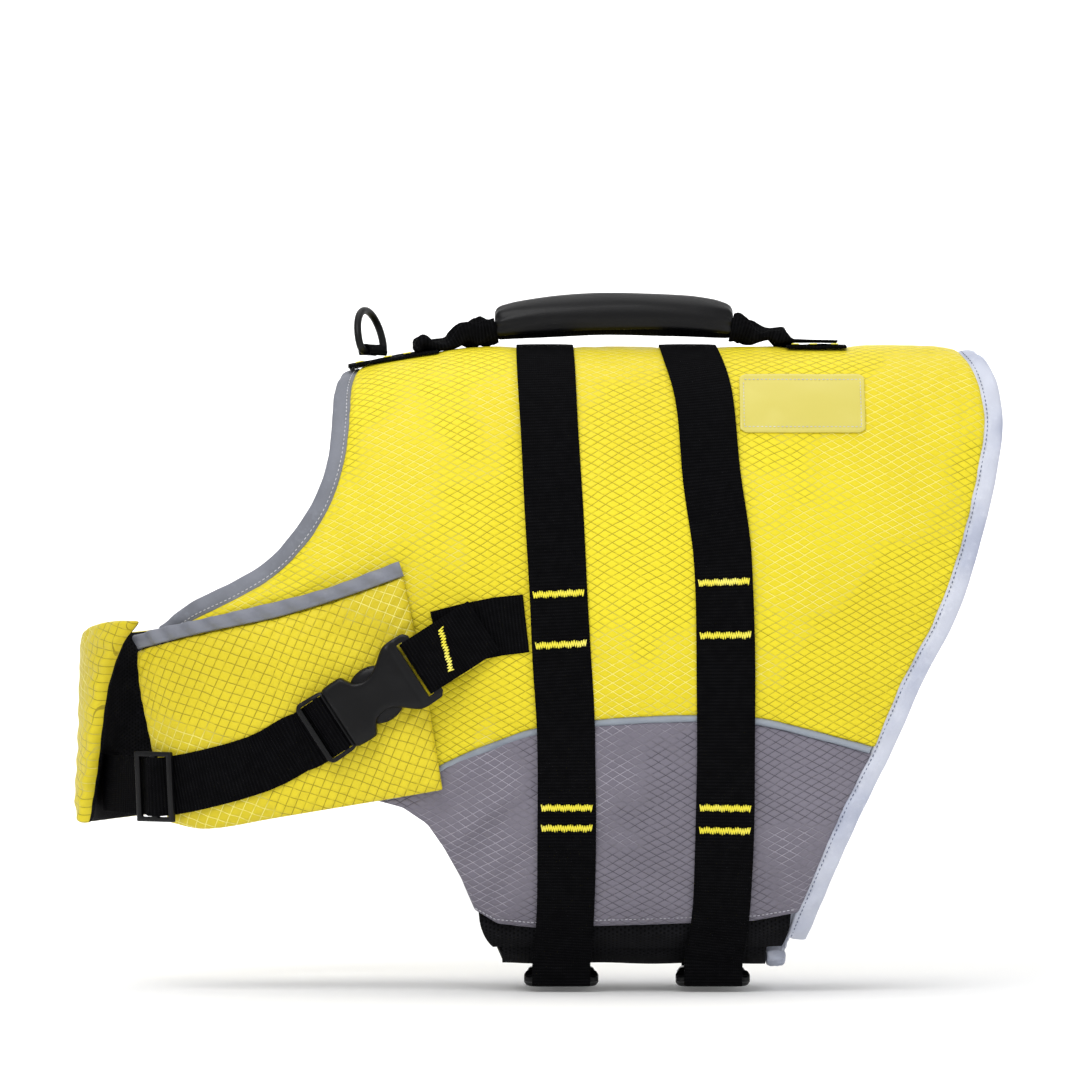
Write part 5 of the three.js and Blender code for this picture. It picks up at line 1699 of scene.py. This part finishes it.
def inflated(piece, held, pressure, spare, cap, frames=20):
    """Let cloth round out from the inside and give it a little spare cloth."""
    free = freedom(piece, held)
    pins = piece.vertex_groups.new(name="pins")
    pins.add([int(i) for i in np.flatnonzero(free < 0.05)], 1.0, "REPLACE")
    start = points_of(piece)
    cloth = piece.modifiers.new("cloth", "CLOTH")
    settings = cloth.settings
    settings.quality = 4
    settings.mass = 0.15
    settings.tension_stiffness = 12
    settings.compression_stiffness = 12
    settings.shear_stiffness = 4
    settings.bending_stiffness = 0.08
    settings.use_pressure = True
    settings.uniform_pressure_force = pressure
    settings.vertex_group_mass = "pins"
    settings.shrink_min = -spare
    settings.effector_weights.gravity = 0
    cloth.point_cache.frame_start = 1
    cloth.point_cache.frame_end = frames
    for step in range(1, frames + 1):
        bpy.context.scene.frame_set(step)
    made = piece.evaluated_get(bpy.context.evaluated_depsgraph_get())
    flat = np.empty(len(made.data.vertices) * 3, np.float32)
    made.data.vertices.foreach_get("co", flat)
    moved = flat.reshape(-1, 3).astype(float) - start
    size = np.linalg.norm(moved, axis=1, keepdims=True)
    print(piece.name, "moved by itself, mm:", round(float(size.max()) / MM, 1))
    moved *= cap * np.tanh(size / cap) / np.maximum(size, 1e-9) * free[:, None]
    piece.modifiers.remove(cloth)
    piece.vertex_groups.remove(pins)
    set_points(piece, start + moved)
    bpy.context.scene.frame_set(1)
    print(piece.name, "moved as kept, mm:", round(float(np.linalg.norm(moved, axis=1).max()) / MM, 1))


UNDERNEATH = [side_left, side_right]
back_rim = edge_distance(back_u, back_v, BACK_LENGTH, BACK_GIRTH) < 5 * MM
flap_rim = edge_distance(flap_pad_u, flap_pad_v, 180 * MM, 130 * MM) < 3 * MM
wing_rim = edge_distance(wing_pad_u, wing_pad_v, 380 * MM, 120 * MM) < 3 * MM
fillings = (
    (back_panel, back_lower | back_rim, 2.0, 0.004, 2.6 * MM),
    (chest_flap, flap_pad_lower | flap_rim, 2.0, 0.006, 2.2 * MM),
    (chest_wing, wing_pad_lower | wing_rim, 2.0, 0.006, 2.2 * MM),
)
for panel, held, pressure, spare, cap in fillings:
    inflated(panel, held, pressure, spare, cap)
    subdivide(panel, 1)
    smooth(panel, 60)

# %% [markdown]
# Stitches hold it all together and say most about how it was made. A bartack is a close zigzag of
# thick yellow thread across the webbing. Seams have rows of short pale or dark stitches. One
# stitch is modelled and its shape repeated along each row, so that it costs few faces.


# %% Bartacks
def thread_tube(name, points, radius, material, slot_name="black_webbing", around=6):
    points = np.asarray(points, float)
    length = np.concatenate([[0], np.cumsum(np.linalg.norm(np.diff(points, axis=0), axis=1))])
    count = max(6, int(length[-1] / (0.9 * MM)))
    at = np.linspace(0, length[-1], count)
    even = np.stack([np.interp(at, length, points[:, k]) for k in range(3)], 1)
    along = unit(np.gradient(even, axis=0))
    guide = np.array([0.31, 0.77, 0.55])
    side = unit(np.cross(along, guide))
    up = np.cross(side, along)

    def place(a, b):
        row = np.round(b * (count - 1)).astype(int)
        angle = 2 * np.pi * a[..., None]
        return even[row] + radius * (np.cos(angle) * side[row] + np.sin(angle) * up[row]), a * 0, at[row]

    thread = tube(name, around, count - 1, place)
    smooth(thread, 80)
    return dressed(thread, slot_name, material)


def bartack(name, route, s, width=33 * MM, height=4.6 * MM, teeth=21, over=None, lean=0.0):
    over = WEB_THICK / 2 + 0.35 * MM if over is None else over
    k = np.arange(2 * teeth + 1)
    across = (k / (2 * teeth) - 0.5) * width
    along = np.where(k % 2, 0.5, -0.5) * height * (1 + 0.18 * np.sin(k * 2.4)) + lean * across
    top = route.place(s + along, across, np.full(len(k), over))
    zigzag = thread_tube(f"{name}_zigzag", top, 0.45 * MM, YELLOW_THREAD, around=5)
    return zigzag


def at_height(route, z, left=True):
    """How far along a belly strap the height z lies on its left or right side."""
    half = (route.points[:, 1] < 0) == left
    clear = half & (np.abs(route.points[:, 2]) > 0)
    s = route.at[clear]
    height = route.points[clear, 2]
    middle = (s > 0.1) & (s < route.length - 0.1)
    return float(s[middle][np.argmin(np.abs(height[middle] - z))])


tacks = {"front": (-151.1, -183.8, -289.3, -303.7), "rear": (-143.2, -177.3, -290.6, -304.4)}
for name, heights in tacks.items():
    for i, height in enumerate(heights):
        for left in (True, False):
            label = f"bartack_{name}_{i}_{'left' if left else 'right'}"
            route = belly_routes[name]
            bartack(label, route, at_height(route, height * MM, left), teeth=22 - i % 2)
for i, x in enumerate((-176, -157, -144)):
    bartack(f"bartack_spine_{i}", spine_front, (x + 184) * MM, width=36 * MM, teeth=18, over=0.5 * MM)
for i, x in enumerate((112, 124, 138)):
    bartack(f"bartack_spine_rear_{i}", spine_rear, (x - 106) * MM, width=39 * MM, teeth=19, over=0.5 * MM)
under_loop = -WEB_THICK / 2 - 0.35 * MM
bartack("bartack_anchor", loop_way, 31 * MM, lean=-0.4, width=27 * MM, teeth=15, over=under_loop)


# %% Rows of stitches
def stitch_row(name, points, ups, pitch, length, radius, material, slot_name="grey_binding", body=JACKET):
    """Short stitches along a line on the cloth: one stitch, repeated."""
    points = np.asarray(points, float)
    run = np.concatenate([[0], np.cumsum(np.linalg.norm(np.diff(points, axis=0), axis=1))])
    count = int(run[-1] / pitch)
    at = (np.arange(count) + 0.5) * pitch
    centre = np.stack([np.interp(at, run, points[:, k]) for k in range(3)], 1)
    ahead = np.stack([np.interp(at + length / 2, run, points[:, k]) for k in range(3)], 1)
    behind = np.stack([np.interp(at - length / 2, run, points[:, k]) for k in range(3)], 1)
    up = unit(np.stack([np.interp(at, run, ups[:, k]) for k in range(3)], 1))
    along = unit(ahead - behind)
    side = unit(np.cross(up, along))
    bpy.ops.object.select_all(action="DESELECT")
    bpy.ops.mesh.primitive_uv_sphere_add(segments=6, ring_count=5, radius=1)
    one = named(name)
    shape = points_of(one)
    faces = [tuple(face.vertices) for face in one.data.polygons]
    shape = shape[:, [2, 0, 1]] * np.array([length / 2, radius, radius])
    turned = (
        shape[None, :, :1] * along[:, None] + shape[None, :, 1:2] * side[:, None]
        + (shape[None, :, 2:] - 0.3 * radius) * up[:, None]
    )
    all_points = (centre[:, None] + turned).reshape(-1, 3)
    all_faces = [tuple(v + i * len(shape) for v in face) for i in range(count) for face in faces]
    bpy.data.objects.remove(one)
    mesh = bpy.data.meshes.new(name)
    mesh.from_pydata(all_points.tolist(), [], all_faces)
    row = bpy.data.objects.new(name, mesh)
    bpy.context.collection.objects.link(row)
    face_out(row)
    smooth(row, 80)
    return dressed(row, slot_name, material, body=body)


def binding_stitches(name, route, width, sew, material, slot_name, pitch=3.2 * MM):
    s = np.linspace(0, route.length, int(route.length / (2 * MM)))
    across = -sew * width
    cosine = abs(2 * sew) ** (1 / 0.8)
    over = BINDING_MIDDLE + BINDING_HALF * math.sqrt(1 - cosine**2) ** 0.7
    points = route.place(s, np.full_like(s, across), np.full_like(s, over + 0.1 * MM))
    ups = route.read(s)[2]
    return stitch_row(name, points, ups, pitch, 0.62 * pitch, 0.34 * MM, material, slot_name)


binding_stitches("neck_stitches", neck_route, NECK_WIDTH, NECK_SEW, PALE_THREAD, "grey_binding")
binding_stitches("tail_stitches", tail_route, TAIL_WIDTH, TAIL_SEW, BLUE_THREAD, "reflective_binding")

hem_u = np.linspace(0.02, 0.98, 160)
for name, sign in (("left", 1), ("right", -1)):
    hem_x, hem_z = side_place(evened(hem_u), np.full_like(hem_u, 0.955))
    hem_turn = sign * turn_at(hem_x, hem_z)
    hem_points = on_body(hem_x, hem_turn, -0.5 * MM)
    hem_ups = normals_of(body_point, hem_x, hem_turn, -1)
    stitch_row(
        f"hem_stitches_{name}", hem_points, hem_ups, 2.8 * MM, 1.9 * MM, 0.3 * MM, PALE_THREAD,
        "grey_ripstop",
    )

border = np.linspace(0, 1, 60)
inset_u = 2.6 * MM / PATCH_SIZE[0]
inset_v = 3.6 * MM / PATCH_SIZE[1]
border_u = np.concatenate([
    inset_u + (1 - 2 * inset_u) * border, np.full(60, 1 - inset_u),
    1 - inset_u - (1 - 2 * inset_u) * border, np.full(60, inset_u),
])
border_v = np.concatenate([
    np.full(60, inset_v), inset_v + (1 - 2 * inset_v) * border, np.full(60, 1 - inset_v),
    1 - inset_v - (1 - 2 * inset_v) * border,
])
border_points = patch_point(border_u, border_v, 2.3 * MM)
border_ups = unit(patch_point(border_u, border_v, 3.3 * MM) - border_points)
stitch_row(
    "patch_stitches", border_points, border_ups, 2.7 * MM, 1.8 * MM, 0.3 * MM, PALE_THREAD, "plain_patch",
)

# %% [markdown]
# The photograph is a plain side view from the wearer's left, taken from some way off with soft
# light all round. A camera 5 m away with a long lens keeps the far handle and belly at nearly the
# scale of the near side. A large soft light above and two from the camera's side keep the yellow
# bright and still let ribs, puckers and seams show, and one more lights the wall behind.

# %% Floor, light and camera
bpy.ops.object.select_all(action="DESELECT")
bpy.ops.mesh.primitive_plane_add(size=1, location=(0, 0.6, -0.4135))
floor = named("floor")
floor.scale = (16, 16, 1)
place_applied(floor)
pale = Finish("pale_floor", linear(247, 247, 247), 0.9)
pale.shader.inputs["Emission Color"].default_value = (1, 1, 1, 1)
pale.shader.inputs["Emission Strength"].default_value = 0.1
floor.data.materials.append(pale.material)
bpy.ops.mesh.primitive_plane_add(size=1, location=(0, 4.5, 2.0), rotation=(math.radians(90), 0, 0))
wall = named("wall")
wall.scale = (14, 10, 1)
place_applied(wall)
wall.data.materials.append(pale.material)


def soft_light(name, place, target, size, power, colour=(1, 1, 1)):
    bpy.ops.object.light_add(type="AREA", location=place)
    lamp = bpy.context.object
    lamp.name = name
    lamp.data.shape = "RECTANGLE"
    lamp.data.size = size[0]
    lamp.data.size_y = size[1]
    lamp.data.energy = power
    lamp.data.color = colour
    lamp.rotation_euler = (Vector(target) - Vector(place)).to_track_quat("-Z", "Y").to_euler()


MIDDLE = (-0.06, 0, -0.16)
soft_light("key", (-0.7, -1.6, 1.5), MIDDLE, (1.4, 1.0), 25)
soft_light("fill", (1.6, -1.8, 0.2), MIDDLE, (1.6, 1.6), 7)
soft_light("top", (0, 0.3, 2.0), MIDDLE, (2.4, 1.8), 20)
soft_light("back", (0.4, 2.2, 1.2), (0, 4.4, 0.4), (2.4, 1.4), 60)
world = bpy.data.worlds.new("studio")
world.use_nodes = True
world.node_tree.nodes["Background"].inputs["Color"].default_value = (1, 1, 1, 1)
world.node_tree.nodes["Background"].inputs["Strength"].default_value = 0.62
bpy.context.scene.world = world
bpy.context.scene.view_settings.view_transform = "Standard"

camera_data = bpy.data.cameras.new("camera")
camera = bpy.data.objects.new("camera", camera_data)
bpy.context.collection.objects.link(camera)
camera.location = (-0.057, -5.0, -0.1157)
camera.rotation_euler = (math.radians(90), 0, 0)
camera_data.lens = 250.9
camera_data.sensor_width = 36
bpy.context.scene.camera = camera

# %% The size of what was made
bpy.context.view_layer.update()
meshes = [piece for piece in bpy.data.objects if piece.type == "MESH"]
print("faces in all:", sum(len(piece.data.polygons) for piece in meshes))
